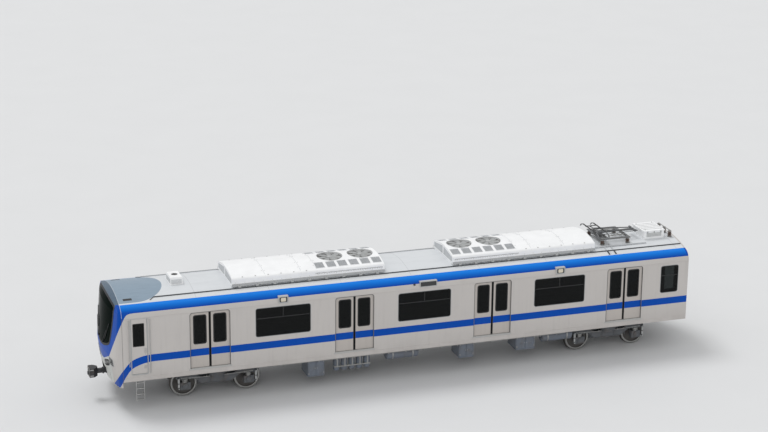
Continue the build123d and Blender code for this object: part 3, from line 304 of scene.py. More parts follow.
def leaf_paint():
    """The side's paint on the sliding leaves, with the dark nosings where two leaves meet."""
    f = body_paint("leaf_paint", LEAF)
    along = (f.x - (DOORS[0] - DOOR_PITCH / 2)).op("FLOORED_MODULO", DOOR_PITCH) - DOOR_PITCH / 2
    f.paint(along.size() < 0.0355, BLACK)
    f.paint(along.size().between(0.0355, 0.040), rgb(120, 116, 112))
    return weathering(f)


def front_paint():
    """The mask: front panel painted in a lighter white than the cheeks, as light falling on it, and blue bowl
    inside the panel's edge; the side's colours outside it.
    """
    f = Finish("front_paint", WHITE, rough=0.40, ior=1.33, level=0.25)
    across = f.y.size()
    inward = (across * -1.0 + HALF).op("MAXIMUM", 0.0)
    along = f.x + inward * NOSE_AHEAD
    high = f.z + inward * NOSE_RISE
    edge = f.z.follow(PANEL_EDGE)
    panel = across < edge
    # Painted light: the front panel is lighter than the cheeks, as if lit; both have the same paint.
    f.paint(panel, BIB_PAINTED_LIGHT)
    f.paint(panel & (f.z > across.follow(BOWL_EDGE)), BLUE)
    f.paint(~panel & (high > along.follow(CAB_EDGE)), BLUE)
    f.paint(~panel & (high < along.follow(STRIPE_TOP)) & (high > along.follow(STRIPE_LOW)), BLUE)
    # Painted shade: a thin darker line along the crease at the panel's edge, below the windscreen.
    crease_shade = (across - edge).size() < 0.006
    f.shade(crease_shade & (f.z < 1.9) * 0.35, 0.3)
    f.paint((f.z > 3.36) & (across < 1.205), DEEP_SLATE)
    joint = f.x < JOINT + 0.010
    # Painted highlight: a light line along the joint over the top of the mask.
    f.paint(joint & (f.z > 3.0), rgb(206, 212, 216))
    f.paint(joint & (f.z < 3.2) & (across > HALF - 0.0015), rgb(96, 92, 90))
    return weathering(f)


def roof_paint():
    """The roof with its blue shoulders, lighter towards their top as a painted reflection, the slate patch
    over the cab and the joints of its sheets.
    """
    f = Finish("roof_paint", ROOF, rough=0.42, ior=1.35, level=0.25)
    across = f.y.size()
    outer = across > 1.235
    f.paint(outer & (f.z < 3.4), WHITE)
    band = (f.z > f.x.follow(CAB_EDGE)) & outer
    f.paint(band, BLUE)
    # Painted reflection: the blue band lightens towards its top, as sky mirrored in the paint.
    f.paint(band & f.z.ramp(3.31, 3.47), SHEEN_BLUE)
    oval = ((f.x - 8.95) / 1.04).op("POWER", 2.0) + (across / 1.17).op("POWER", 2.0)
    patch = ((oval < 1.0) | ((f.x > 8.95) & (across < 1.17))) & (f.z > 3.3)
    f.paint(patch, SLATE)
    swell = (across - (HALF - SHOULDER)).op("POWER", 2.0) + (f.z - SIDE_TOP).op("POWER", 2.0)
    proud = swell > (SHOULDER + 0.004) ** 2
    f.paint(proud & (across > 1.3) & (f.z > SIDE_TOP), rgb(186, 184, 181))
    brushed = f.noise(5.0, 4.0, (0.5, 4.0, 1.0)).ramp(0.45, 0.75) * 0.16
    f.shade(brushed * patch, 0.4)
    seams = (f.x - 8.24).op("FLOORED_MODULO", 2.405).op("SUBTRACT", 1.2025).size() < 0.006
    f.shade(seams & (across < 1.22) & (f.x < 7.9), 0.72)
    f.shade(f.noise(1.3, 5.0, (1.0, 3.0, 1.0)).ramp(0.5, 0.85) * 0.13, 0.35)
    f.bump(f.noise(4.0, 2.0) + f.noise(120.0, 2.0) * 0.05, 0.003, 0.2)
    return f.done()


def plain(name, colour, rough, metal=0.0, wear=0.12, dust=None, grain=40.0, coat=0.0, bump=0.0015):
    """A surface with an uneven tone, wear, and dust where a colour for it is given."""
    f = Finish(name, colour, rough, metal, coat)
    f.shade(f.noise(2.2, 5.0).ramp(0.35, 0.8) * wear, 0.2)
    f.shade(f.noise(grain, 3.0).ramp(0.5, 0.9) * wear, 0.4)
    if dust is not None:
        f.paint(f.noise(5.0, 6.0).ramp(0.48, 0.78) * 0.5, dust)
    f.bump(f.noise(grain * 1.5, 4.0), bump, 0.3)
    return f.done()


def glass(name, tint, body=(0.01, 0.012, 0.012), least=0.22, gain=1.3, level=0.5):
    """Dark tinted glass that lets some light through and mirrors its surroundings."""
    f = Finish(name, body, rough=0.05, level=level)
    mat = f.done(spread=0.03)
    tree = f.tree
    clear = tree.nodes.new("ShaderNodeBsdfTransparent")
    clear.inputs["Color"].default_value = (*tint, 1.0)
    rim = tree.nodes.new("ShaderNodeFresnel")
    rim.inputs["IOR"].default_value = 1.5
    mix = tree.nodes.new("ShaderNodeMixShader")
    share = Wire(tree, rim.outputs[0]) * gain + least
    tree.links.new(share.op("MINIMUM", 1.0).out, mix.inputs["Fac"])
    tree.links.new(clear.outputs[0], mix.inputs[1])
    tree.links.new(f.shader.outputs[0], mix.inputs[2])
    tree.links.new(mix.outputs[0], tree.nodes["Material Output"].inputs["Surface"])
    return mat


def floor_cover():
    """Dark metal below, and a speckled vinyl on the saloon floor."""
    f = Finish("underframe_paint", rgb(74, 76, 80), rough=0.6)
    top = f.z > FLOOR - 0.0005
    f.paint(top, rgb(118, 124, 126))
    f.shade(f.noise(160.0, 2.0).ramp(0.55, 0.7) * top * 0.35, 0.3)
    f.paint(f.noise(2.0, 6.0).ramp(0.45, 0.8) * (f.z < 1.2) * 0.5, rgb(98, 84, 72))
    f.bump(f.noise(60.0, 3.0), 0.001, 0.3)
    return f.done()


def worn(f, amount, depth):
    """Uneven wear and a fine grain over what is painted so far."""
    f.shade(f.noise(2.2, 5.0).ramp(0.35, 0.8) * amount, 0.2)
    f.bump(f.noise(60.0, 4.0), depth, 0.3)
    return f.done()


def collector_finish():
    """Grey steel below, and dark carbon on top of the collector's strips."""
    f = Finish("collector_steel", rgb(116, 118, 120), rough=0.45, metal=0.3)
    f.paint((f.z > 4.072) & (f.y.size() < 0.545), rgb(44, 44, 46))
    return worn(f, 0.2, 0.001)


def gutter_finish():
    """Dark strip whose side towards the middle of the roof is painted as the roof is."""
    f = Finish("gutter_rubber", rgb(66, 70, 74), rough=0.6)
    f.paint(f.y.size() < GUTTER_Y - 0.012, rgb(196, 199, 202))
    return worn(f, 0.3, 0.0015)


def wheel_finish():
    """Dark worn steel with brown patches."""
    f = Finish("wheel_steel", rgb(86, 84, 82), rough=0.5, metal=0.4)
    f.paint(f.noise(6.0, 6.0).ramp(0.4, 0.75) * 0.5, rgb(60, 54, 50))
    f.bump(f.noise(70.0, 4.0), 0.0008, 0.35)
    return f.done()


SCREEN = {
    "tint": (0.05, 0.09, 0.07), "body": (0.003, 0.008, 0.006), "least": 0.62, "gain": 0.2, "level": 0.004,
}
M = {
    "wall": weathering(body_paint("wall_paint", WHITE)),
    "end": weathering(body_paint("end_paint", WHITE, 1.235, REAR + 0.004)),
    "leaf": leaf_paint(),
    "front": front_paint(),
    "roof": roof_paint(),
    "glazing": glass("glazing", (0.20, 0.22, 0.22)),
    "screen": glass("windscreen_glass", **SCREEN),
    "rubber": plain("dark_rubber", rgb(30, 31, 33), 0.62, wear=0.3, grain=90.0),
    "gutter": gutter_finish(),
    "seal": plain("grey_seal", rgb(104, 103, 102), 0.6, wear=0.2),
    "mesh": plain("grille_mesh", rgb(192, 195, 198), 0.5, wear=0.15, grain=60.0),
    "strip": collector_finish(),
    "lit": plain("lamp_glass", rgb(214, 206, 188), 0.2, wear=0.05, coat=0.5),
    "lens": plain("lamp_housing", rgb(28, 29, 31), 0.22, wear=0.1, coat=0.6),
    "lining": plain("interior_panel", rgb(206, 206, 202), 0.5, wear=0.05, grain=25.0, bump=0.0004),
    "desk": plain("desk_plastic", rgb(52, 55, 60), 0.5, wear=0.15, grain=120.0),
    "seat": plain("seat_plastic", rgb(38, 92, 160), 0.4, wear=0.1, grain=60.0),
    "stainless": plain("stainless", rgb(186, 186, 184), 0.32, 0.85, 0.1, grain=70.0, bump=0.0004),
    "aircon": plain("aircon_paint", rgb(240, 241, 242), 0.42, wear=0.10, coat=0.1, grain=18.0, bump=0.0008),
    "resin": plain("insulator_resin", rgb(108, 92, 84), 0.3, wear=0.15, coat=0.3),
    "panto": plain("pantograph_steel", rgb(116, 118, 120), 0.42, 0.5, 0.2, dust=rgb(88, 76, 66)),
    "under": floor_cover(),
    "gear": plain("equipment_paint", rgb(106, 113, 124), 0.5, wear=0.18, dust=rgb(96, 88, 79)),
    "bogie": plain("bogie_paint", rgb(92, 95, 99), 0.6, wear=0.3, dust=rgb(98, 84, 72)),
    "wheel": wheel_finish(),
    "coupler": plain("coupler_steel", rgb(60, 61, 64), 0.5, 0.4, 0.25, dust=rgb(84, 74, 64)),
    "dark": plain("black_fittings", rgb(24, 25, 27), 0.5, wear=0.2),
    "steel": plain("bright_steel", rgb(170, 170, 168), 0.35, 0.8, 0.15, grain=80.0),
    "grey": plain("light_fittings", rgb(176, 178, 178), 0.45, wear=0.12),
}

NODES_OF = {
    "under": "underframe",
    "wall": "side_walls cab_door_left cab_door_right",
    "end": "end_wall_rear",
    "glazing": "side_glass",
    "lining": "saloon_lining cab_partition partition_door",
    "roof": "roof",
    "gutter": "gutters",
    "rubber": "gangway_bellows",
    "front": "cab_front",
    "screen": "windscreen",
    "lens": "headlamps",
    "desk": "driver_desk driver_seat",
    "seat": "benches",
    "stainless": "grab_poles cab_rails_steps",
    "aircon": "aircons roof_vent roof_box",
    "resin": "insulators",
    "panto": "panto_base panto_lower_arm panto_upper_arm panto_rod",
    "strip": "collector_head",
    "coupler": "coupler_pockets coupler_front coupler_rear",
    "gear": "equipment_boxes brake_reservoirs air_tanks",
}
NODE_FINISH = {name: kind for kind, names in NODES_OF.items() for name in names.split()}
for name, obj in nodes.items():
    kind = "leaf" if name.startswith("door_") else "wheel" if name.startswith("wheelset") else "bogie"
    obj.data.materials.clear()
    obj.data.materials.append(M[NODE_FINISH.get(name, kind)])


# Mesh building: every piece is one mesh of closed forms
def round_points(radius, count, phase=0.0):
    """Points of a regular polygon on a circle."""
    turns = [2 * math.pi * (k + phase) / count for k in range(count)]
    return [(radius * math.cos(turn), radius * math.sin(turn)) for turn in turns]


def rounded(width, height, radius, centre=(0.0, 0.0), steps=6):
    """Corner-rounded rectangle as a list of points, anticlockwise."""
    points = []
    for quarter, step in product(range(4), range(steps + 1)):
        cx = centre[0] + (width / 2 - radius) * (1 if quarter in (0, 3) else -1)
        cy = centre[1] + (height / 2 - radius) * (1 if quarter in (0, 1) else -1)
        turn = math.radians(90 * (quarter + step / steps))
        points.append((cx + radius * math.cos(turn), cy + radius * math.sin(turn)))
    return points


def along(axis, across, value):
    """A point from its two coordinates across an axis and one along it."""
    a, b = across
    return {"x": (value, a, b), "y": (a, value, b), "z": (a, b, value)}[axis]


def posed(place, degrees, axis):
    """A frame at a place, turned about one axis."""
    return Matrix.Translation(place) @ Matrix.Rotation(math.radians(degrees), 4, axis)


class Piece:
    """Gathers closed forms in one mesh. They are given for the left side, and sides holds 1 where they are
    wanted as given and -1 where they are wanted mirrored over the centre line."""

    made = []

    def __init__(self, name, finish, slot, body="carbody", sides=SIDES, replaces=()):
        self.name, self.finish, self.slot, self.body = name, finish, slot, body
        self.sides, self.replaces = sides, replaces
        self.verts, self.faces, self.lift = [], [], Matrix.Identity(4)
        Piece.made.append(self)

    def put(self, verts, faces, sides=None):
        placed = [self.lift @ Vector(v) for v in verts]
        for side in sides or self.sides:
            base = len(self.verts)
            self.verts += [(v.x, v.y * side, v.z) for v in placed]
            self.faces += [[base + i for i in face] for face in faces]

    def block(self, lo, hi, edge=0.0):
        """A box from corner to corner, its edges cut by edge."""
        ends = [sorted(pair) for pair in zip(lo, hi)]
        edge = min(edge, *[(b - a) * 0.45 for a, b in ends])
        if edge <= 0:
            (x0, x1), (y0, y1), (z0, z1) = ends
            self.prism([(y0, z0), (y1, z0), (y1, z1), (y0, z1)], "x", x0, x1)
            return
        verts, names = [], {}
        for corner, own in product(product((0, 1), repeat=3), range(3)):
            names[corner, own] = len(verts)
            inner = [ends[i][s] + (edge, -edge)[s] for i, s in enumerate(corner)]
            inner[own] = ends[own][corner[own]]
            verts.append(inner)
        faces = [[names[corner, own] for own in range(3)] for corner in product((0, 1), repeat=3)]
        for axis in range(3):
            u, v = [i for i in range(3) if i != axis]

            def at(s, a, b, own):
                key = [s, s, s]
                key[u], key[v] = a, b
                return names[tuple(key), own]

            faces += [[at(s, a, b, axis) for a, b in ((0, 0), (1, 0), (1, 1), (0, 1))] for s in (0, 1)]
            for a, b in product((0, 1), repeat=2):
                faces.append([at(0, a, b, u), at(1, a, b, u), at(1, a, b, v), at(0, a, b, v)])
        self.put(verts, faces)

    def prism(self, outline, axis, low, high):
        self.rings([[along(axis, p, value) for p in outline] for value in (low, high)], caps=True)

    def ring(self, outer, inner, axis, low, high):
        """The space between two outlines of as many points, from low to high."""
        edges = ((outer, low), (outer, high), (inner, high), (inner, low))
        self.rings([[along(axis, p, value) for p in line] for line, value in edges], closed=True)

    def frame(self, centre, outer, inner, axis, low, high, steps=6):
        """A flat frame between two rounded outlines, each given as (width, height, radius)."""
        self.ring(rounded(*outer, centre, steps), rounded(*inner, centre, steps), axis, low, high)

    def rings(self, loops, closed=False, caps=False, sides=None):
        """Skin through loops of as many points; closed joins the last loop to the first."""
        count = len(loops[0])
        verts = [p for loop in loops for p in loop]
        faces = []
        for k in range(len(loops) if closed else len(loops) - 1):
            a, b = k * count, ((k + 1) % len(loops)) * count
            faces += [(a + i, a + (i + 1) % count, b + (i + 1) % count, b + i) for i in range(count)]
        if caps:
            faces += [list(range(count)), list(range(len(verts) - 1, len(verts) - count - 1, -1))]
        self.put(verts, faces, sides)

    def turned(self, profile, centre, axis="z", steps=20, way=1.0, closed=False):
        """A turned form: profile gives (radius, distance along the axis) from one end to the other."""
        loops = []
        for radius, height in profile:
            spots = [along(axis, p, height * way) for p in round_points(radius, steps)]
            loops.append([[c + s for c, s in zip(centre, spot)] for spot in spots])
        self.rings(loops, closed, caps=not closed)

    def pipe(self, points, radius, steps=8):
        """A bar of round section along a chain of points."""
        for side in self.sides:
            self.tube([Vector((x, y * side, z)) for x, y, z in points], radius, steps)

    def tube(self, points, radius, steps):
        """One bar along its points, which are not mirrored."""
        loops = []
        side = None
        for i, point in enumerate(points):
            before = (point - points[i - 1]).normalized() if i else (points[1] - point).normalized()
            after = (points[i + 1] - point).normalized() if i < len(points) - 1 else before
            ahead = (before + after).normalized()
            if side is None:
                side = ahead.orthogonal().normalized()
            side = (side - ahead * side.dot(ahead)).normalized()
            other = ahead.cross(side)
            stretch = 1.0 / max(0.35, ahead.dot(before))
            spread = before.cross(after)
            loop = []
            for a, b in round_points(1.0, steps):
                arm = side * a + other * b
                if spread.length > 1e-4:
                    bend = spread.cross(ahead).normalized()
                    arm += bend * arm.dot(bend) * (stretch - 1.0)
                loop.append(point + arm * radius)
            loops.append(loop)
        self.rings(loops, caps=True, sides=AS_IS)

    def hoop(self, centre, radius, wire, axis="z", steps=32, sides=5, rise=None):
        """A ring of round wire, level or following a height that changes with y."""
        loops = []
        for a, b in round_points(1.0, steps):
            loop = []
            for out, high in round_points(wire, sides):
                reach = radius + out
                spot = [c + s for c, s in zip(centre, along(axis, (reach * a, reach * b), high))]
                if rise is not None:
                    spot[2] += rise(spot[1])
                loop.append(spot)
            loops.append(loop)
        self.rings(loops, closed=True)

    def coil(self, centre, radius, wire, turns, height, steps=14, sides=6):
        """An upright coil spring, wound the same way on either side."""
        x, y, z = centre
        path = []
        for step in range(int(turns * steps) + 1):
            turn, rise = 2 * math.pi * step / steps, height * step / (turns * steps)
            path.append(Vector((x + radius * math.cos(turn), radius * math.sin(turn), z + rise)))
        for side in self.sides:
            self.tube([point + Vector((0, y * side, 0)) for point in path], wire, sides)

    def bolt(self, place, axis, size=0.012, way=1.0):
        """A hexagon head on a washer."""
        self.turned([(size * 1.35, 0.0), (size * 1.35, size * 0.2)], place, axis, 12, way)
        head = [c + s for c, s in zip(place, along(axis, (0, 0), size * 0.2 * way))]
        self.turned([(size, 0.0), (size, size * 0.55), (size * 0.8, size * 0.7)], head, axis, 6, way)

    def done(self):
        mesh = bpy.data.meshes.new(self.name)
        mesh.from_pydata(self.verts, [], self.faces)
        work = bmesh.new()
        work.from_mesh(mesh)
        bmesh.ops.recalc_face_normals(work, faces=work.faces)
        work.to_mesh(mesh)
        work.free()
        mesh.shade_smooth()
        mesh.set_sharp_from_angle(angle=math.radians(32.0))
        mesh.materials.append(M[self.finish])
        obj = bpy.data.objects.new(self.name, mesh)
        scene.collection.objects.link(obj)
        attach(obj, self.body)
        if self.replaces:
            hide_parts(*self.replaces)


# Glass in the sliding leaves and the cab doors: the pane's faces take the glazing
for name, obj in nodes.items():
    if name.startswith("door_"):
        number, end_name = name.split("_")[2:]
        middle = DOORS[int(number) - 1] + (LEAF_MID if end_name == "front" else -LEAF_MID)
        reach, rise, z_mid, depth = 0.206, 0.481, LEAF_WINDOW_Z, (1.499, 1.511)
    elif name.startswith("cab_door_"):
        middle, reach, rise, z_mid, depth = CAB_WINDOW_X, 0.171, 0.371, CAB_WINDOW_Z, (1.528, 1.540)
    else:
        continue
    mesh = obj.data
    mesh.materials.append(M["glazing"])
    for face in mesh.polygons:
        points = [mesh.vertices[i].co for i in face.vertices]
        inside = all(abs(p.x - middle) < reach and abs(p.z - z_mid) < rise for p in points)
        if inside and abs(face.normal.y) > 0.9 and all(depth[0] < abs(p.y) < depth[1] for p in points):
            face.material_index = 1

# Window surrounds of the side walls: gasket, trim and the bars of the sashes
gaskets = Piece("window_gaskets", "rubber", "dark_rubber")
trims = Piece("window_trims", "grey", "body_paint")
for x, width in WINDOWS:
    spot, middle = (x, WINDOW_Z), (width + 0.006, WINDOW_H + 0.006, 0.073)
    gaskets.frame(spot, middle, (width - 0.044, WINDOW_H - 0.044, 0.05), "y", 1.5445, 1.5625)
    trims.frame(spot, (width + 0.034, WINDOW_H + 0.034, 0.087), middle, "y", 1.559, 1.5635)
    rail, reach = WINDOW_Z + 0.13, width / 2 - 0.02
    gaskets.block((x - reach, 1.545, rail - 0.016), (x + reach, 1.553, rail + 0.016), 0.004)
    if width > 1:
        gaskets.block((x - 0.014, 1.545, rail), (x + 0.014, 1.552, WINDOW_Z + WINDOW_H / 2 - 0.02), 0.004)

# Front ends of the gutters, turned outwards over the shoulder of the roof
turned_ends = Piece("gutter_ends", "gutter", "gutter_rubber")
loops = []
for share in (0.0, 0.34, 0.67, 1.0):
    x, y = 8.358 + 0.142 * share, GUTTER_Y + 0.137 * share
    section = ((-0.0085, -0.006), (0.0085, -0.006), (0.0085, 0.016), (-0.0085, 0.016))
    loops.append([(x + a, y - a, roof_z(y) + b) for a, b in section])
turned_ends.rings(loops, caps=True)

# Door leaves: window frames outside and inside
for (side_name, side), (number, x) in product(SIDE_NAMES, enumerate(DOORS, start=1)):
    for end_name, way in (("front", 1), ("rear", -1)):
        leaf = f"{side_name}_{number}_{end_name}"
        rims = Piece(f"leaf_window_{leaf}", "rubber", "dark_rubber", f"door_{leaf}", (side,))
        spot = (x + way * LEAF_MID, LEAF_WINDOW_Z)
        rims.frame(spot, (0.44, 0.99, 0.075), (0.368, 0.918, 0.04), "y", 1.5082, 1.5256)
        rims.frame(spot, (0.43, 0.98, 0.05), (0.40, 0.95, 0.035), "y", 1.4868, 1.4845)

# Doorway outlines, thresholds and the mouldings along the side
outlines = Piece("doorway_seals", "seal", "dark_rubber")
sills = Piece("door_sills", "stainless", "stainless")
rails = Piece("side_mouldings", "wall", "body_paint")


def doorway(x, grow):
    """Outline of a doorway with its upper corners rounded, moved outwards by grow."""
    top, low, reach, radius = 3.098 + grow, FLOOR - 0.006, 0.65 + grow, 0.09 + grow
    corner = round_points(radius, 24)[:7]
    left = [(x - reach + radius - a, top - radius + b) for a, b in corner]
    right = [(x + reach - radius + a, top - radius + b) for a, b in reversed(corner)]
    return [(x - reach, low)] + left + right + [(x + reach, low)]


for x in DOORS:
    outlines.ring(doorway(x, 0.011), doorway(x, -0.007), "y", 1.5315, 1.5625)
    sills.block((x - 0.70, 1.532, FLOOR - 0.062), (x + 0.70, 1.5665, FLOOR - 0.004), 0.006)
    for k in range(24):
        tread = x - 0.62 + k * 0.054
        sills.block((tread, 1.534, FLOOR - 0.006), (tread + 0.024, 1.560, FLOOR + 0.001))
for low, high, out in ((3.108, 3.124, 1.5675), (1.136, 1.148, 1.565), (1.0085, 1.026, 1.5655)):
    section = [(1.559, low), (out, low + 0.003), (out, high - 0.004), (1.559, high)]
    rails.prism(section, "x", REAR + 0.002, JOINT - 0.004)

# Faces of the housings over the first and third windows, of the blank side display, and the round lamps
hoods = Piece("side_housings", "grey", "body_paint")
lenses = Piece("side_lamps", "lens", "lamp_lens")
lit = Piece("side_lamp_glass", "lit", "lamp_lens")
HOUSING_Z, HOUSING_OUT = 3.246, 1.590
for x in (MID + DOOR_PITCH, MID - DOOR_PITCH):
    spot, out = (x, HOUSING_Z), HOUSING_OUT
    hoods.frame(spot, (0.322, 0.228, 0.045), (0.262, 0.168, 0.03), "y", out - 0.002, out + 0.008)
    lenses.prism(rounded(0.262, 0.168, 0.03, spot), "y", out - 0.002, out + 0.001)
    lit.frame(spot, (0.17, 0.126, 0.03), (0.12, 0.076, 0.015), "y", out, out + 0.006)
    lit.prism(rounded(0.12, 0.076, 0.015, spot), "y", out, out + 0.0035)
    for bx, bz in product((-0.146, 0.146), (-0.098, 0.098)):
        hoods.bolt((x + bx, out + 0.008, HOUSING_Z + bz), "y", 0.006)
spot = (MID - 0.12, 3.268)
hoods.frame(spot, (0.59, 0.19, 0.02), (0.55, 0.15, 0.012), "y", 1.570, 1.5775, 3)
lenses.prism(rounded(0.55, 0.15, 0.012, spot, 3), "y", 1.570, 1.5735)
lenses.turned([(0.038, 0.0), (0.038, 0.02), (0.02, 0.034)], (MID + 0.355, 1.525, 3.27), "y", 18)

# Air conditioners: grilles, fans, seams, feet and fastenings
UNIT_NEAR, UNIT_FAR = 1.19, 6.33
BARREL_R, BARREL_Z = 2.9186, 1.1034
GRILLE_LEAN = 12.6
FAN_R, FAN_FLOOR = 0.42, 3.972
BLADE = (((0.098, -0.045), (0.098, 0.045)), ((0.25, -0.075), (0.24, 0.095)), ((0.385, -0.04), (0.365, 0.13)))


def barrel(y):
    """Height of the air conditioner's round top."""
    return BARREL_Z + math.sqrt(BARREL_R**2 - y * y)


PROFILE = [(0.935, 3.81), (0.912, 3.868), (0.835, 3.90)]
PROFILE += [(y, barrel(y)) for y in (0.7, 0.56, 0.42, 0.28, 0.14, 0.0)]
slats = Piece("aircon_grilles", "mesh", "aircon_paint", sides=AS_IS)
bezels = Piece("aircon_grille_frames", "aircon", "aircon_paint", sides=AS_IS)
fans = Piece("aircon_fans", "grey", "aircon_paint", sides=AS_IS)
well_shades = Piece("aircon_fan_wells", "seal", "aircon_paint", sides=AS_IS)
guards = Piece("aircon_fan_guards", "grey", "aircon_paint", sides=AS_IS)
seams = Piece("aircon_seams", "mesh", "aircon_paint")
feet = Piece("aircon_feet", "grey", "aircon_paint")
hole_shades = Piece("aircon_perforations", "seal", "aircon_paint")
fixings = Piece("aircon_fixings", "steel", "aircon_paint")


def grille(x):
    """One louvred opening, in the frame of the sloping top."""
    for k in range(11):
        y = -0.155 + k * 0.031
        section = [(y - 0.012, -0.0165), (y + 0.002, -0.0165), (y + 0.015, -0.002), (y + 0.001, -0.002)]
        slats.prism(section, "x", x - 0.146, x + 0.146)
    for k in range(5):
        bar = x - 0.146 + k * 0.073
        slats.block((bar - 0.003, -0.17, -0.012), (bar + 0.003, 0.17, -0.0015))
    bezels.frame((x, 0.0), (0.322, 0.372, 0.014), (0.294, 0.344, 0.006), "z", -0.006, 0.004, 2)
    for bx, by in product((-0.153, 0.153), (-0.178, 0.0, 0.178)):
        bezels.turned([(0.006, 0.003), (0.006, 0.0065), (0.004, 0.008)], (x + bx, by, 0.0), "z", 6)


def fan(x):
    """One fan in its well, with the wire guard over it."""
    guards.hoop((x, 0, 0.002), FAN_R + 0.004, 0.008, steps=40, rise=barrel)
    for radius in (0.37, 0.32, 0.27, 0.22, 0.17, 0.12):
        guards.hoop((x, 0, -0.004), radius, 0.0028, steps=36, sides=4, rise=barrel)
    for k in range(8):
        turn = math.radians(45 * k + 11)
        spots = [(r * math.cos(turn), r * math.sin(turn)) for r in (0.09, 0.25, FAN_R)]
        guards.pipe([(x + a, b, barrel(b) - 0.003) for a, b in spots], 0.004, 5)
    # Painted shade: a dark grey disc at the floor of each fan well, for the shade under the fan.
    well_shades.turned([(FAN_R - 0.004, FAN_FLOOR), (FAN_R - 0.004, FAN_FLOOR + 0.002)], (x, 0, 0), "z", 32)
    fans.turned([(0.10, FAN_FLOOR + 0.002), (0.10, 3.994), (0.07, 4.002), (0.0005, 4.004)], (x, 0, 0))
    for k in range(7):
        fans.lift = posed((x, 0, 3.981), 360 * k / 7, "Z")
        fans.rings([[(*a, -0.004), (*b, 0.005), (*b, 0.002), (*a, -0.006)] for a, b in BLADE], caps=True)
    fans.lift = Matrix.Identity(4)


def unit_sides(low, high):
    """Feet and studs along the sides of one unit, from its low to its high station."""
    feet.prism([(0.945, 3.626), (0.962, 3.626), (0.962, 3.69), (0.944, 3.70)], "x", low - 0.004, high + 0.004)
    foot = [(0.962, 3.626), (1.0, roof_z(1.0) - 0.004), (1.0, roof_z(1.0) + 0.012), (0.962, 3.665)]
    for k in range(9):
        x = low + 0.25 + k * (high - low - 0.5) / 8
        feet.prism(foot, "x", x - 0.05, x + 0.05)
        fixings.bolt((x, 0.978, 3.645), "z", 0.011)
    for k in range(17):
        x = low + 0.12 + k * (high - low - 0.24) / 16
        fixings.turned([(0.009, 0.0), (0.009, 0.004), (0.006, 0.006)], (x, 0.94, 3.735), "y", 8)


def lid_joint(x):
    """A joint across the top with the studs on both sides of it."""
    for a, b in zip(PROFILE, PROFILE[1:]):
        run = Vector((b[0] - a[0], b[1] - a[1])).normalized()
        out = Vector((run.y, -run.x)) * 0.0022
        seams.prism([a, b, Vector(b) + out, Vector(a) + out], "x", x - 0.005, x + 0.005)
    for y, shift in product((0.62, 0.3), (-0.045, 0.045)):
        fixings.turned([(0.013, -0.004), (0.013, 0.004), (0.008, 0.006)], (x + shift, y, barrel(y)), "z", 8)


for way in SIDES:
    for side in SIDES:
        slats.lift = bezels.lift = posed((MID, side * 0.6367, 3.9517), -side * GRILLE_LEAN, "X")
        for k in range(6):
            grille(way * (UNIT_NEAR + 0.195 + k * 0.389))
    for offset in (1.75, 2.80):
        fan(MID + way * offset)
    # Painted shade: rows of dark grey discs stand in for the perforations, whose insides lie in shade.
    for k in range(56):
        x = MID + way * (3.53 - 0.041 * k)
        hole_shades.turned([(0.014, 0.0), (0.014, 0.0035)], (x, 0.9368, 3.787), "y", 6)
        if k % 2:
            hole_shades.turned([(0.008, 0.0), (0.008, 0.0035)], (x, 0.9388, 3.760), "y", 6)
    unit_sides(*sorted((MID + way * UNIT_NEAR, MID + way * UNIT_FAR)))
    for offset in (3.49, 4.02, 5.22):
        lid_joint(MID + way * offset)
    low, high = sorted((MID + way * 3.62, MID + way * 6.18))
    seams.prism([(0.862, 3.886), (0.872, 3.882), (0.874, 3.8865), (0.864, 3.8905)], "x", low, high)
    for k in range(6):
        x = low + (k + 0.5) * (high - low) / 6
        fixings.block((x - 0.02, 0.842, 3.888), (x + 0.02, 0.892, 3.900), 0.003)
    for offset, out in ((UNIT_FAR, way), (UNIT_NEAR, -way)):
        low, high = MID + way * offset - out * 0.002, MID + way * offset + out * 0.002
        seams.prism([(0.05, 3.70), (0.86, 3.70), (0.84, 3.85), (0.05, 3.965)], "x", low, high)
        for y in (0.12, 0.45, 0.78):
            fixings.turned([(0.010, 0.0), (0.010, 0.006), (0.006, 0.008)], (high, y, 3.73), "x", 8, out)

# Roof vent: louvres, round opening with a black cup as painted shade inside it, and skirt
VENT_X, VENT_TOP, VENT_R = MID + 7.992, 3.900, 0.110
LOUVRE = ((0.0, 0.006), (0.0025, 0.006), (0.012, -0.012), (0.0, -0.010))
vent = Piece("roof_vent_louvres", "mesh", "aircon_paint", sides=AS_IS)
mouth_shade = Piece("roof_vent_mouth", "dark", "aircon_paint", sides=AS_IS)
rim = Piece("roof_vent_rim", "aircon", "aircon_paint", sides=AS_IS)
for side, k in product(SIDES, range(4)):
    z = 3.715 + k * 0.036
    vent.prism([(side * (0.318 + a), z + b) for a, b in LOUVRE], "x", VENT_X - 0.17, VENT_X + 0.17)
    vent.prism([(VENT_X + side * (0.198 + a), z + b) for a, b in LOUVRE], "y", -0.28, 0.28)
spot = (VENT_X, 0, VENT_TOP)
throat, lip, brim = VENT_R - 0.003, VENT_R - 0.004, VENT_R + 0.018
# Painted shade: a black cup fills the round opening, for its shaded inside.
mouth_shade.turned([(throat, -0.041), (throat, -0.004), (0.06, -0.006), (0.0005, -0.007)], spot, "z", 24)
section = [(lip, -0.012), (lip, 0.008), (brim - 0.008, 0.008), (brim, 0.0), (brim, -0.012)]
rim.turned(section, spot, "z", 28, closed=True)
rim.frame((VENT_X, 0.0), (0.45, 0.69, 0.03), (0.402, 0.642, 0.006), "z", 3.655, 3.688, 3)
for sx, sy in product((-0.212, 0.212), (-0.25, 0.0, 0.25)):
    rim.bolt((VENT_X + sx, sy, 3.688), "z", 0.010)

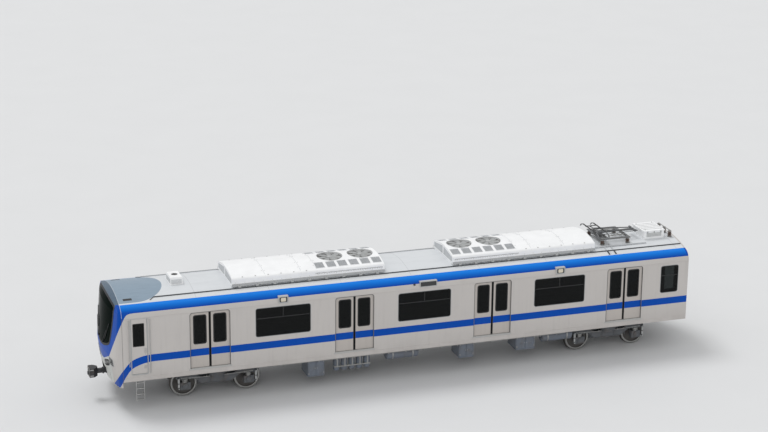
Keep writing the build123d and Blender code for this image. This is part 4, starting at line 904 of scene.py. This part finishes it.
# Marker slots in the roof over the cab
SLOT_Y = 0.985
slots = Piece("cab_roof_slots", "dark", "roof_paint")
lean = math.degrees(math.atan2(SLOT_Y, roof_z(SLOT_Y) - CROWN_Z))
slots.lift = posed((9.19, SLOT_Y, roof_z(SLOT_Y)), -lean, "X")
slots.block((-0.14, -0.055, -0.02), (0.14, 0.055, 0.006), 0.004)

# Insulators with their sheds, and the busbar over the rear ones
sheds = Piece("insulator_sheds", "resin", "insulator_resin", sides=AS_IS, replaces=("insulators",))
caps = Piece("insulator_caps", "steel", "pantograph_steel", sides=AS_IS)


def post(x, y, top):
    """An insulator from the roof up to a height."""
    foot = roof_z(y) - 0.004
    low, high = foot + 0.042, top - 0.034
    caps.turned([(0.085, foot), (0.085, foot + 0.018), (0.05, foot + 0.03), (0.05, low)], (x, y, 0))
    caps.turned([(0.05, high), (0.05, top - 0.012), (0.062, top - 0.010), (0.062, top)], (x, y, 0))
    count = max(3, int((high - low) / 0.028))
    pitch = (high - low) / count
    profile = []
    for k in range(count):
        z, reach = low + k * pitch, (0.075, 0.062)[k % 2]
        profile += [(0.036, z), (0.036, z + 0.002)]
        profile += [(reach, z + pitch * 0.30), (reach, z + pitch * 0.42), (0.036, z + pitch * 0.85)]
    sheds.turned(profile + [(0.036, high)], (x, y, 0))


for sx, sy in product(SIDES, SIDES):
    post(PANTO_X + sx * 0.47, sy * 0.55, 3.830)
for y in (-0.42, 0.0, 0.42):
    post(BUSBAR_X, y, 3.878)
    caps.bolt((BUSBAR_X, y, 3.892), "z", 0.012)
caps.block((BUSBAR_X - 0.02, -0.45, 3.880), (BUSBAR_X + 0.02, 0.45, 3.892), 0.002)

# The nose: surround of the windscreen, wipers, lamps and trims, set on the mask's own surface, which is
# given by its foremost station at each height and by one radius in plan
MASK = [(0.83, 10.33), (1.19, 10.38), (1.77, 10.455), (3.30, 10.335), (3.738, 10.20)]
MASK_HALF, NOSE_BULGE = 1.6, 0.222
NOSE_R = (MASK_HALF**2 + NOSE_BULGE**2) / (2 * NOSE_BULGE)


def nose_x(y, z):
    """Station of the mask's outer surface at a distance from the centre line and a height."""
    z = min(max(z, MASK[0][0]), MASK[-1][0])
    for (z0, x0), (z1, x1) in zip(MASK, MASK[1:]):
        if z <= z1:
            front = MID + x0 + (x1 - x0) * (z - z0) / (z1 - z0)
            return front - NOSE_R + math.sqrt(NOSE_R**2 - y * y)


def laid(line, gap):
    """Points at a gap before the nose's surface, from a line given as (y, z)."""
    return [(nose_x(y, z) + gap, y, z) for y, z in line]


def on_nose(piece, outer, inner, back, front):
    """A band on the nose between two outlines."""
    piece.rings([laid(outer, back), laid(outer, front), laid(inner, front), laid(inner, back)], closed=True)


def plate_on_nose(piece, outline, back, front):
    """A plate on the nose within an outline."""
    piece.rings([laid(outline, back), laid(outline, front)], caps=True)


def arc(a, m, b, steps):
    """Points on the circle through three points, from a to b."""
    (ax, ay), (mx, my), (bx, by) = a, m, b
    aa, mm, bb = ax * ax + ay * ay, mx * mx + my * my, bx * bx + by * by
    d = 2 * (ax * (my - by) + mx * (by - ay) + bx * (ay - my))
    ux = (aa * (my - by) + mm * (by - ay) + bb * (ay - my)) / d
    uy = (aa * (bx - mx) + mm * (ax - bx) + bb * (mx - ax)) / d
    radius = math.hypot(ax - ux, ay - uy)
    start, end = math.atan2(ay - uy, ax - ux), math.atan2(by - uy, bx - ux)
    if abs(end - start) > math.pi:
        end += 2 * math.pi if end < start else -2 * math.pi
    turns = [start + (end - start) * k / steps for k in range(steps + 1)]
    return [(ux + radius * math.cos(turn), uy + radius * math.sin(turn)) for turn in turns]


def grown(outline, out):
    """A clockwise outline with each point moved outwards."""
    moved = []
    for before, here, after in zip(outline[-1:] + outline[:-1], outline, outline[1:] + outline[:1]):
        run = Vector((after[0] - before[0], after[1] - before[1])).normalized()
        moved.append((here[0] - run.y * out, here[1] + run.x * out))
    return moved


def screen_outline():
    """The windscreen's outline, clockwise, with its corners eased."""
    top = arc((-1.2, 3.435), (0, 3.59), (1.2, 3.435), 36)[1:-1]
    right = arc((1.2, 3.435), (1.15, 2.8), (0.985, 2.15), 24)[1:-1]
    low = arc((0.985, 2.15), (0, 1.905), (-0.985, 2.15), 32)[1:-1]
    return top + right + low + [(-y, z) for y, z in reversed(right)]


surround = Piece("windscreen_surround", "rubber", "dark_rubber", sides=AS_IS)
on_nose(surround, grown(screen_outline(), 0.026), grown(screen_outline(), -0.050), -0.006, 0.004)

WIPER_PIVOT, WIPER_TIP = (0.34, 2.005), (0.74, 2.52)
wipers = Piece("wipers", "dark", "dark_rubber")
wipers.turned([(0.03, 0.0), (0.03, 0.03), (0.018, 0.042)], laid([WIPER_PIVOT], -0.004)[0], "x", 14)
shares = (0, 0.25, 0.5, 0.75, 1)
(y0, z0), (y1, z1) = WIPER_PIVOT, WIPER_TIP
wipers.pipe(laid([(y0 + (y1 - y0) * t, z0 + (z1 - z0) * t) for t in shares], 0.032), 0.010, 6)
wipers.pipe(laid([(y1 - 0.17 + 0.34 * t, z1 - 0.33 + 0.60 * t) for t in shares], 0.016), 0.011, 6)
wipers.pipe(laid([WIPER_TIP], 0.034) + laid([WIPER_TIP], 0.014), 0.012, 6)

# Lamps: a dark panel from the middle of the front out to the headlamp, its bezel, and the lenses in both
panels = Piece("lamp_panels", "dark", "lamp_lens")
lamps = Piece("lamp_units", "lens", "lamp_lens")
bezel = Piece("lamp_bezels", "grey", "lamp_lens")
glow = Piece("lamp_reflectors", "steel", "lamp_lens")
LAMP_Y, LAMP_Z = 1.12, 1.59


def lamp(y, z, r, gap, deep):
    """A reflector of a radius and depth with its lens, at a gap before the nose's surface."""
    place = laid([(y, z)], gap)[0]
    glow.turned([(r, 0.0), (r, deep), (r * 0.86, deep + 0.002)], place, "x")
    edge = [(r * 0.84, deep - 0.002), (r * 0.84, deep + 0.0035)]
    lamps.turned(edge + [(r * 0.5, deep + 0.0065), (0.001, deep + 0.0075)], place, "x")


spot = (LAMP_Y, LAMP_Z)
on_nose(bezel, rounded(0.352, 0.282, 0.05, spot), rounded(0.318, 0.248, 0.038, spot), -0.012, 0.005)
columns = []
for share in [k / 16 for k in range(17)]:
    y, middle = 0.30 + 0.635 * share, 1.285 + 0.215 * share
    half = 0.100 * (1 - abs(2 * share - 1) ** 10) + 0.012
    low, high = (y, middle - half), (y, middle + half)
    columns.append(laid([low], -0.010) + laid([low, high], 0.003) + laid([high], -0.010))
panels.rings(columns, caps=True)
for y, z, r in ((-0.075, 0.025, 0.058), (0.07, 0.03, 0.050), (0.0, -0.075, 0.024), (0.055, -0.075, 0.024),
                (-0.055, -0.075, 0.024)):
    lamp(LAMP_Y + y, LAMP_Z + z, r, -0.010, 0.010)
for y, z, r in ((0.42, 1.325, 0.055), (0.57, 1.377, 0.055), (0.72, 1.428, 0.055), (0.85, 1.472, 0.040)):
    lamp(y, z, r, 0.001, 0.008)

trim = Piece("nose_trims", "dark", "dark_rubber")
plate_on_nose(trim, [(0.330, 0.85), (0.330, 1.09), (0.345, 1.105), (0.345, 0.85)], -0.05, 0.003)
marks = ((0.36, -0.003), (0.9, 0.001), (1.40, 0.004), (1.40, 0.010), (0.9, 0.007), (0.36, 0.003))
plate_on_nose(trim, [(y, 1.13 + dz) for y, dz in marks], -0.01, 0.0015)
plate_on_nose(trim, [(0.80, 1.13), (0.806, 1.13), (0.806, 0.86), (0.80, 0.86)], -0.01, 0.0015)
trim.sides = AS_IS
sill = [(-0.345, 1.09), (-0.345, 1.105), (0.0, 1.107), (0.345, 1.105), (0.345, 1.09), (0.0, 1.09)]
plate_on_nose(trim, sill, -0.05, 0.003)

# Cab side doors: surround and step on the wall; window frame, lock, handle and slats on the door
surrounds = Piece("cab_door_surrounds", "grey", "body_paint")
surrounds.frame((CAB_DOOR_X, 2.173), (0.55, 1.892, 0.02), (0.504, 1.846, 0.006), "y", 1.5595, 1.5655, 3)
surrounds.block((CAB_DOOR_X - 0.24, 1.5605, 1.222), (CAB_DOOR_X + 0.24, 1.585, 1.243), 0.004)
for side_name, side in SIDE_NAMES:
    door = f"cab_door_{side_name}"
    frames = Piece(f"cab_door_window_{side_name}", "rubber", "dark_rubber", door, (side,))
    for low, high in ((1.5385, 1.5582), (1.5205, 1.5185)):
        spot = (CAB_WINDOW_X, CAB_WINDOW_Z)
        frames.frame(spot, (0.372, 0.772, 0.03), (0.326, 0.726, 0.012), "y", low, high)
    fittings = Piece(f"cab_door_fittings_{side_name}", "steel", "stainless", door, (side,))
    x = CAB_DOOR_X - 0.19
    fittings.frame((x, 2.02), (0.075, 0.15, 0.02), (0.055, 0.13, 0.012), "y", 1.5555, 1.5595)
    fittings.pipe([(x, 1.556, 1.985), (x, 1.5592, 1.99), (x, 1.5592, 2.05), (x, 1.556, 2.055)], 0.007)
    fittings.turned([(0.017, 0.0), (0.017, 0.003), (0.012, 0.0045)], (x, 1.556, 1.90), "y", 16)
    for k in range(5):
        z = 1.42 + k * 0.022
        fittings.block((x - 0.035, 1.5552, z), (x + 0.055, 1.5585, z + 0.010), 0.001)

# Running gear: springs, dampers, covers, brakes and pipes on the bogies, rims and bolts on the wheels
BOGIE_PIECES = {
    "primary_springs": "steel", "dampers": "grey", "axle_covers": "bogie", "brake_units": "gear",
    "bogie_pipes": "steel", "frame_ribs": "bogie",
}
AXLE_COVER = [(0.098, 0.0), (0.098, 0.012), (0.090, 0.020), (0.055, 0.024), (0.045, 0.034), (0.0005, 0.036)]
WHEEL_RIM = [
    (0.372, -0.006), (0.372, 0.0015), (0.376, 0.003), (0.420, 0.003), (0.425, 0.001), (0.425, -0.006),
]
AIR_SPRING = [
    (0.24, 0.704), (0.262, 0.712), (0.262, 0.735), (0.276, 0.76), (0.288, 0.80), (0.290, 0.85), (0.28, 0.90),
    (0.262, 0.935), (0.262, 0.965), (0.24, 0.975),
]
RIM_FACE, DISC_FACE = 0.8115, 0.7745
number = 0
for end_name, station in BOGIES.items():
    springs, dampers, covers, brakes, pipes, ribs = [
        Piece(f"{name}_{end_name}", finish, "bogie_paint", f"bogie_{end_name}")
        for name, finish in BOGIE_PIECES.items()
    ]
    for way in SIDES:
        number += 1
        x = station + way * AXLE_REACH
        springs.coil((x, 1.0, 0.584), 0.093, 0.012, 3.5, 0.094)
        covers.turned(AXLE_COVER, (x, 1.125, AXLE_Z), "y", 28)
        for a, b in round_points(0.075, 6, 0.5):
            covers.bolt((x + a, 1.143, AXLE_Z + b), "y", 0.009)
        dx = x + way * 0.225
        for profile in (
            [(0.030, 0.45), (0.032, 0.455), (0.032, 0.56), (0.028, 0.565)],
            [(0.034, 0.60), (0.037, 0.605), (0.037, 0.735), (0.030, 0.74)],
        ):
            dampers.turned(profile, (dx, 1.136, 0), "z", 18)
        for z in (0.405, 0.752):
            dampers.turned([(0.020, 0.0), (0.020, 0.012), (0.012, 0.020)], (dx, 1.164, z), "y", 14)
        ribs.block((x - 0.16, 0.93, 0.802), (x + 0.16, 1.07, 0.815), 0.004)
        for shift in (-0.12, 0.12):
            ribs.bolt((x + shift, 1.0, 0.815), "z", 0.014)
        inner = x - way * 0.60
        for k in range(4):
            rib = inner - 0.085 + k * 0.05
            brakes.block((rib, 0.914, 0.62), (rib + 0.020, 0.922, 0.78), 0.003)
        brakes.turned([(0.065, 0.0), (0.065, 0.03), (0.05, 0.045)], (inner, 0.80, 0.80), "z", 18)
        drum = (inner - way * 0.10, 0.80, 0.70)
        brakes.turned([(0.070, 0.0), (0.070, 0.02), (0.045, 0.034)], drum, "x", 18, -way)
        hose = ((0.0, 0.86, 0.80), (0.0, 0.86, 0.835), (0.08, 0.97, 0.79), (0.15, 0.98, 0.725))
        pipes.pipe([(inner - way * a, y, z) for a, y, z in hose], 0.009, 6)
        wheel = Piece(f"wheel_rims_{number}", "steel", "wheel_steel", f"wheelset_{number}")
        wheel.turned(WHEEL_RIM, (x, RIM_FACE, AXLE_Z), "y", 56, closed=True)
        for a, b in round_points(0.115, 8):
            wheel.bolt((x + a, DISC_FACE, AXLE_Z + b), "y", 0.010)
    ribs.turned(AIR_SPRING, (station, 1.0, 0), "z", 32)
    for dx, top in ((-0.62, 0.66), (-0.22, 0.69), (0.22, 0.69), (0.62, 0.66)):
        ribs.block((station + dx - 0.008, 1.085, 0.50), (station + dx + 0.008, 1.100, top), 0.002)
    ribs.block((station - 0.46, 0.905, 0.480), (station + 0.46, 1.10, 0.492))
    run = ((-1.2, 0.74), (-0.55, 0.715), (0.55, 0.715), (1.2, 0.74))
    pipes.pipe([(station + dx, 1.095, z) for dx, z in run], 0.010, 6)
    for x in [station + dx for dx in (-0.9, -0.35, 0.35, 0.9)]:
        pipes.block((x - 0.012, 1.083, 0.70), (x + 0.012, 1.108, 0.745), 0.002)
    brakes.sides = ribs.sides = AS_IS
    for way in SIDES:
        x, y = station + way * 0.43, way * 0.25
        brakes.block((x - 0.19, y - 0.31, 0.47), (x + 0.19, y + 0.31, 0.49), 0.004)
        for k in range(9):
            rib = y - 0.26 + k * 0.065
            ribs.block((x - 0.20, rib - 0.006, 0.50), (x + 0.20, rib + 0.006, 0.665), 0.002)

# Underfloor: doors, latches and louvres of the boxes, straps and pipes of the tanks and reservoirs
lids = Piece("box_doors", "gear", "equipment_paint")
latches = Piece("box_latches", "steel", "equipment_paint")
hangers = Piece("box_hangers", "under", "underframe_paint")
for x, length, low in ((MID + 3.675, 0.56, 0.408), (MID - 1.56, 0.52, 0.455), (MID - 3.685, 0.68, 0.50)):
    half = length / 2 - 0.03
    for sign in SIDES:
        mid = x + sign * half / 2
        outer, inner = (half - 0.012, 0.98 - low, 0.02), (half - 0.05, 0.94 - low, 0.012)
        lids.frame((mid, (low + 1.03) / 2), outer, inner, "y", 1.418, 1.436, 3)
        lids.block((mid - half / 2 + 0.02, 1.418, low + 0.04), (mid + half / 2 - 0.02, 1.428, 1.0), 0.003)
        edges = (x + sign * (half - 0.012), x + sign * (half + 0.010))
        for z in (low + 0.12, 0.93):
            latches.block((edges[0], 1.428, z - 0.03), (edges[1], 1.444, z + 0.03), 0.003)
        spot = (x + sign * 0.035, 1.436, (low + 1.0) / 2)
        latches.turned([(0.014, 0.0), (0.014, 0.006), (0.006, 0.009)], spot, "y", 12)
        for k in range(6):
            z = low + 0.10 + k * 0.028
            section = [(1.426, z + 0.010), (1.429, z + 0.010), (1.438, z - 0.004), (1.426, z - 0.006)]
            lids.prism(section, "x", mid - 0.07, mid + 0.07)
        edge = x + sign * length / 2
        hangers.block((edge - 0.03, 0.72, 1.0), (edge + 0.03, 1.40, 1.104), 0.006)
    reach = length / 2 + 0.008
    lids.block((x - reach, 0.69, low + 0.03), (x + reach, 1.428, low + 0.05), 0.003)

TANK_END = [
    (0.1925, -0.505), (0.1925, -0.004), (0.186, 0.018), (0.168, 0.045), (0.13, 0.068), (0.07, 0.082),
    (0.001, 0.086),
]
TANK_STRAP = [(0.190, -0.02), (0.199, -0.02), (0.199, 0.02), (0.190, 0.02)]
FLASK_STRAP = [(0.1060, -0.014), (0.1100, -0.012), (0.1100, 0.012), (0.1060, 0.014)]
FLASK_END = [
    (0.1065, 0.52), (0.1065, 0.0), (0.098, -0.022), (0.075, -0.040), (0.035, -0.050), (0.001, -0.052),
]
straps = Piece("tank_straps", "steel", "equipment_paint")
domes = Piece("tank_ends", "gear", "equipment_paint")
lines = Piece("underfloor_pipes", "steel", "underframe_paint")
for x in (MID + 0.65, MID - 4.9):
    for dx in (-0.35, 0.35):
        straps.turned(TANK_STRAP, (x + dx, 1.15, 0.80), "x", 32, closed=True)
        straps.bolt((x + dx, 1.15, 0.601), "z", 0.010, -1)
    for way in SIDES:
        domes.turned(TANK_END, (x + way * 0.50, 1.15, 0.80), "x", 28, way)
        stub = (x + way * 0.583, 1.15, 0.80)
        lines.turned([(0.018, 0.0), (0.018, 0.035), (0.012, 0.04)], stub, "x", 10, way)
for k in range(5):
    x = MID + 2.92 - 0.26 * k
    domes.turned(FLASK_END, (x, 1.2, 0.502), "z", 24)
    for z in (0.62, 0.92):
        straps.turned(FLASK_STRAP, (x, 1.2, z), "z", 24)
    lines.turned([(0.012, 0.0), (0.012, -0.03), (0.007, -0.036)], (x, 1.2, 0.452), "z", 10)
    straps.block((x - 0.02, 1.30, 0.60), (x + 0.02, 1.33, 1.10), 0.004)
straps.block((MID + 1.78, 1.308, 0.60), (MID + 3.02, 1.322, 0.64), 0.003)
for y, reach, high, low, wide, steps in (
    (1.44, 5.3, 1.02, 0.955, 0.019, 8), (1.485, 5.2, 1.03, 0.985, 0.011, 6),
):
    run = ((reach, high), (reach - 0.2, low), (0.2 - reach, low), (-reach, high))
    lines.pipe([(MID + dx, y, z) for dx, z in run], wide, steps)
for k in range(17):
    x = MID - 4.8 + k * 0.6
    lines.block((x - 0.012, 1.415, 0.93), (x + 0.012, 1.50, 1.005), 0.003)
    lines.block((x - 0.012, 1.452, 1.0), (x + 0.012, 1.475, 1.106), 0.003)

# Front coupler: rim and rings of its face, collar of its bar, and the rear drawbar's flange bolts
coupling = Piece("coupler_face", "steel", "coupler_steel", "coupler_front", AS_IS)
collar = Piece("coupler_collar", "coupler", "coupler_steel", "coupler_front", AS_IS)
flange = Piece("drawbar_bolts", "steel", "coupler_steel", "coupler_rear", AS_IS)
face, spot = COUPLER_TIP - 0.060, (0.0, COUPLER_Z)
coupling.frame(spot, (0.352, 0.292, 0.012), (0.338, 0.278, 0.008), "x", face - 0.004, face + 0.006, 2)
coupling.hoop((face, -0.095, COUPLER_Z), 0.080, 0.006, "x", 28)
coupling.hoop((face, 0.095, COUPLER_Z), 0.079, 0.005, "x", 28)
for z in (COUPLER_Z - 0.115, COUPLER_Z + 0.115):
    coupling.turned([(0.022, -0.002), (0.022, 0.014), (0.014, 0.020)], (face, 0.0, z), "x", 14)
for sy, sz in product(SIDES, SIDES):
    coupling.bolt((face, sy * 0.145, COUPLER_Z + sz * 0.115), "x", 0.011)
    z = COUPLER_Z + sz * 0.10
    coupling.block((face - 0.13, sy * 0.178, z - 0.02), (face - 0.02, sy * 0.186, z + 0.02), 0.004)
for x in (COUPLER_TIP - 0.62, COUPLER_TIP - 0.52):
    collar.frame(spot, (0.19, 0.19, 0.05), (0.128, 0.128, 0.004), "x", x - 0.022, x + 0.022)
    for side in SIDES:
        collar.bolt((x, side * 0.095, COUPLER_Z), "y", 0.012, side)
hose = ((0.40, 0.085), (0.30, 0.092), (0.25, 0.13))
collar.pipe([(COUPLER_TIP - back, y, COUPLER_Z + 0.03) for back, y in hose], 0.012)
for a, b in round_points(0.103, 8, 0.5):
    flange.bolt((MID - 9.81, a, COUPLER_Z + b), "x", 0.008)

# Gangway: rounded lips on the folds, a frame on the end wall and the bridge plate
PASSAGE_W, PASSAGE_H = 1.30, 1.95
PASSAGE_Z = FLOOR + PASSAGE_H / 2
FOLD_PITCH = (0.26 - 0.024) / 3
OUTER_LIP = ((0.100, -0.001), (0.113, -0.004), (0.118, -0.012), (0.113, -0.020), (0.100, -0.023))
INNER_LIP = ((0.038, 0.020), (0.052, 0.010), (0.056, 0.0), (0.052, -0.010), (0.038, -0.020))


def passage(grow):
    """The passage's outline with its corners cut, moved outwards by grow."""
    w, h, cut = PASSAGE_W / 2 + grow, PASSAGE_H / 2 + grow, 0.09 + grow / 2
    upper = [(w, h - cut), (w - cut, h), (cut - w, h), (-w, h - cut)]
    return [(y, PASSAGE_Z + z) for y, z in upper + [(-y, -z) for y, z in upper]]


folds = Piece("gangway_lips", "rubber", "dark_rubber", sides=AS_IS)
lips = [(REAR - k * FOLD_PITCH, OUTER_LIP) for k in range(4)]
lips += [(REAR - (k + 0.5) * FOLD_PITCH - 0.012, INNER_LIP) for k in range(3)]
for station, section in lips:
    folds.rings([[(station + d, y, z) for y, z in passage(g)] for g, d in section], closed=True)
portal = Piece("gangway_frame", "grey", "body_paint", sides=AS_IS)
portal.ring(passage(0.165), passage(0.122), "x", REAR - 0.014, REAR + 0.001)
for k, side in product(range(9), SIDES):
    spot = (REAR - 0.014, side * (PASSAGE_W / 2 + 0.143), PASSAGE_Z - 0.88 + k * 0.22)
    portal.bolt(spot, "x", 0.008, -1)
bridge = Piece("gangway_bridge", "stainless", "stainless", sides=AS_IS)
bridge.block((MID - 9.84, -0.52, FLOOR + 0.0005), (REAR + 0.10, 0.52, FLOOR + 0.006), 0.002)
for k in range(20):
    y = -0.49 + k * 0.0515
    bridge.block((MID - 9.82, y - 0.006, FLOOR + 0.006), (REAR + 0.08, y + 0.006, FLOOR + 0.010), 0.001)

# Rear end wall: handrails, jumper sockets, marker lamps and cover plates
handrails = Piece("rear_handrails", "stainless", "stainless")
sockets = Piece("rear_sockets", "dark", "dark_rubber")
covers = Piece("rear_covers", "grey", "body_paint")
markers = Piece("rear_markers", "lens", "lamp_lens")
run = ((0.001, 1.36), (-0.055, 1.36), (-0.065, 1.39), (-0.065, 2.47), (-0.055, 2.50), (0.001, 2.50))
handrails.pipe([(REAR + dx, 1.33, z) for dx, z in run], 0.014, 10)
for z in (1.36, 2.50):
    handrails.turned([(0.030, 0.0), (0.030, -0.006), (0.018, -0.010)], (REAR, 1.33, z), "x", 14)
for z in (1.36, 1.60):
    sockets.block((REAR - 0.075, 0.94, z), (REAR + 0.001, 1.14, z + 0.19), 0.012)
    profile = [(0.070, -0.074), (0.070, -0.098), (0.060, -0.104), (0.0005, -0.106)]
    sockets.turned(profile, (REAR, 1.04, z + 0.095), "x", 22)
    sockets.block((REAR - 0.112, 1.02, z + 0.155), (REAR - 0.075, 1.06, z + 0.19), 0.004)
covers.frame((1.09, 2.30), (0.42, 0.86, 0.04), (0.40, 0.84, 0.03), "x", REAR - 0.005, REAR + 0.001)
covers.prism(rounded(0.39, 0.83, 0.028, (1.09, 2.30)), "x", REAR - 0.002, REAR + 0.001)
for z, dy in product((1.95, 2.30, 2.65), (-0.185, 0.185)):
    covers.bolt((REAR - 0.002, 1.09 + dy, z), "x", 0.007, -1)
covers.block((REAR - 0.016, 1.50, 1.05), (REAR + 0.001, 1.535, 3.05), 0.004)
profile = [(0.055, 0.001), (0.055, -0.014), (0.045, -0.022), (0.0005, -0.026)]
markers.turned(profile, (REAR, 1.18, 2.98), "x", 24)

# Roof between the air conditioner and the pantograph: cable ducts across the roof and pipes along it
PIPE_Y = 0.74
ducts = Piece("roof_ducts", "gutter", "roof_paint")
reaches = [0.54 + k * 0.095 for k in range(8)]
section = [(y, roof_z(y) - 0.006) for y in reaches] + [(y, roof_z(y) + 0.022) for y in reversed(reaches)]
for x in (MID - 6.775, MID - 7.015):
    ducts.prism(section, "x", x - 0.022, x + 0.022)
top = roof_z(PIPE_Y)
ducts.pipe([(MID - 6.34, PIPE_Y, top + 0.030), (MID - 8.34, PIPE_Y, top + 0.030)], 0.020, 10)
for k in range(5):
    x = MID - 6.5 - k * 0.43
    ducts.block((x - 0.012, PIPE_Y - 0.034, top - 0.012), (x + 0.012, PIPE_Y + 0.034, top + 0.018), 0.004)

# Pantograph: lowering springs with their rods and brackets, and foot bolts
SPRING_Y, SPRING_Z = 0.34, 3.872
lowering = Piece("panto_springs", "steel", "pantograph_steel")
lowering.lift = posed((PANTO_X - 0.36, 0, SPRING_Z), 90, "Y")
lowering.coil((0, SPRING_Y, 0), 0.026, 0.006, 14, 0.42, steps=10)
lowering.lift = Matrix.Identity(4)
low, high = PANTO_X - 0.42, PANTO_X + 0.12
lowering.pipe([(low, SPRING_Y, SPRING_Z), (high, SPRING_Y, SPRING_Z)], 0.009)
for x in (low, high):
    lowering.block((x - 0.012, 0.32, 3.828), (x + 0.012, 0.36, 3.886), 0.003)
for way, dx in product(SIDES, (0.028, -0.028)):
    lowering.bolt((PANTO_X + way * 0.47 + dx, 0.55, 3.860), "z", 0.010)

# High-voltage box: louvres, latches, lid ribs and lifting eyes
box_bits = Piece("roof_box_fittings", "grey", "aircon_paint")
for k in range(4):
    z = 3.745 + k * 0.036
    section = [(0.449, z + 0.010), (0.452, z + 0.010), (0.464, z - 0.008), (0.449, z - 0.006)]
    box_bits.prism(section, "x", ROOF_BOX_X - 0.28, ROOF_BOX_X + 0.28)
for x in (ROOF_BOX_X - 0.25, ROOF_BOX_X, ROOF_BOX_X + 0.25):
    box_bits.block((x - 0.02, 0.449, 3.872), (x + 0.02, 0.480, 3.926), 0.004)
for x in (ROOF_BOX_X - 0.30, ROOF_BOX_X + 0.30):
    box_bits.hoop((x, 0.36, 3.965), 0.020, 0.005, "x", 16)
box_bits.sides = AS_IS
for y in (-0.30, -0.15, 0.0, 0.15, 0.30):
    box_bits.block((ROOF_BOX_X - 0.36, y - 0.012, 3.949), (ROOF_BOX_X + 0.36, y + 0.012, 3.956), 0.002)

# Inside: ceiling lamps, strap rails with their straps, screens and levers on the desk
SALOON_REAR, SALOON_FRONT = MID - 9.45, MID + 8.70
RAIL_Y, RAIL_Z = 0.92, 3.05
ceiling = Piece("ceiling_lamps", "lit", "interior_panel")
hang = Piece("hanging_straps", "grey", "stainless")
top = roof_z(0.62) - 0.061
for k in range(8):
    x = SALOON_REAR + 0.35 + k * 2.24
    ceiling.block((x, 0.54, top - 0.035), (x + 1.9, 0.70, top), 0.010)
hang.pipe([(SALOON_REAR + 0.2, RAIL_Y, RAIL_Z), (SALOON_FRONT - 0.2, RAIL_Y, RAIL_Z)], 0.012)
for k in range(9):
    x = SALOON_REAR + 0.3 + k * 2.19
    hang.pipe([(x, RAIL_Y, RAIL_Z), (x, RAIL_Y, roof_z(RAIL_Y) - 0.062)], 0.010, 6)
for k in range(36):
    x = SALOON_REAR + 0.5 + k * 0.49
    hang.block((x - 0.012, RAIL_Y - 0.003, 2.83), (x + 0.012, RAIL_Y + 0.003, RAIL_Z + 0.005), 0.001)
    hang.hoop((x, RAIL_Y, 2.79), 0.045, 0.007, "y", 16)
LEVER = [
    (0.030, 1.86), (0.030, 1.875), (0.010, 1.885), (0.010, 1.95), (0.022, 1.965), (0.022, 1.99), (0.010, 2.0),
]
desk = Piece("desk_screens", "lens", "lamp_lens", sides=AS_IS)
levers = Piece("desk_levers", "steel", "stainless", sides=AS_IS)
for y in (0.38, -0.02):
    desk.lift = posed((MID + 9.95, y, 1.935), -62, "Y")
    desk.block((-0.10, -0.16, 0.0), (0.14, 0.16, 0.020), 0.006)
for y in (0.62, -0.30):
    levers.turned(LEVER, (MID + 9.88, y, 0), "z", 16)
for k in range(6):
    spot = (MID + 9.99, -0.50 - k * 0.07, 0)
    levers.turned([(0.012, 1.918), (0.012, 1.932), (0.008, 1.936)], spot, "z", 12)

# Pane and frame of the partition door
PANE_X, PANE_SPOT = MID + 8.80, (0.0, 2.5)
pane = Piece("partition_pane", "glazing", "glazing", "partition_door", AS_IS)
pane.prism(rounded(0.300, 0.600, 0.004, PANE_SPOT, 2), "x", PANE_X - 0.004, PANE_X + 0.004)
border = Piece("partition_pane_frame", "rubber", "dark_rubber", "partition_door", AS_IS)
for way in SIDES:
    low, high = PANE_X + way * 0.0195, PANE_X + way * 0.024
    border.frame(PANE_SPOT, (0.324, 0.624, 0.02), (0.288, 0.588, 0.008), "x", low, high, 3)

for piece in Piece.made:
    piece.done()

# The pale floor under the car
floor_mesh = bpy.data.meshes.new("studio_floor")
floor_mesh.from_pydata([(-260, -260, 0), (260, -260, 0), (260, 260, 0), (-260, 260, 0)], [], [(0, 1, 2, 3)])
floor = bpy.data.objects.new("studio_floor", floor_mesh)
scene.collection.objects.link(floor)
pale = Finish("studio_floor", rgb(214, 215, 216), rough=0.75)
pale.shade(pale.noise(0.4, 3.0).ramp(0.3, 0.8) * 0.05, 0.6)
floor_mesh.materials.append(pale.done())
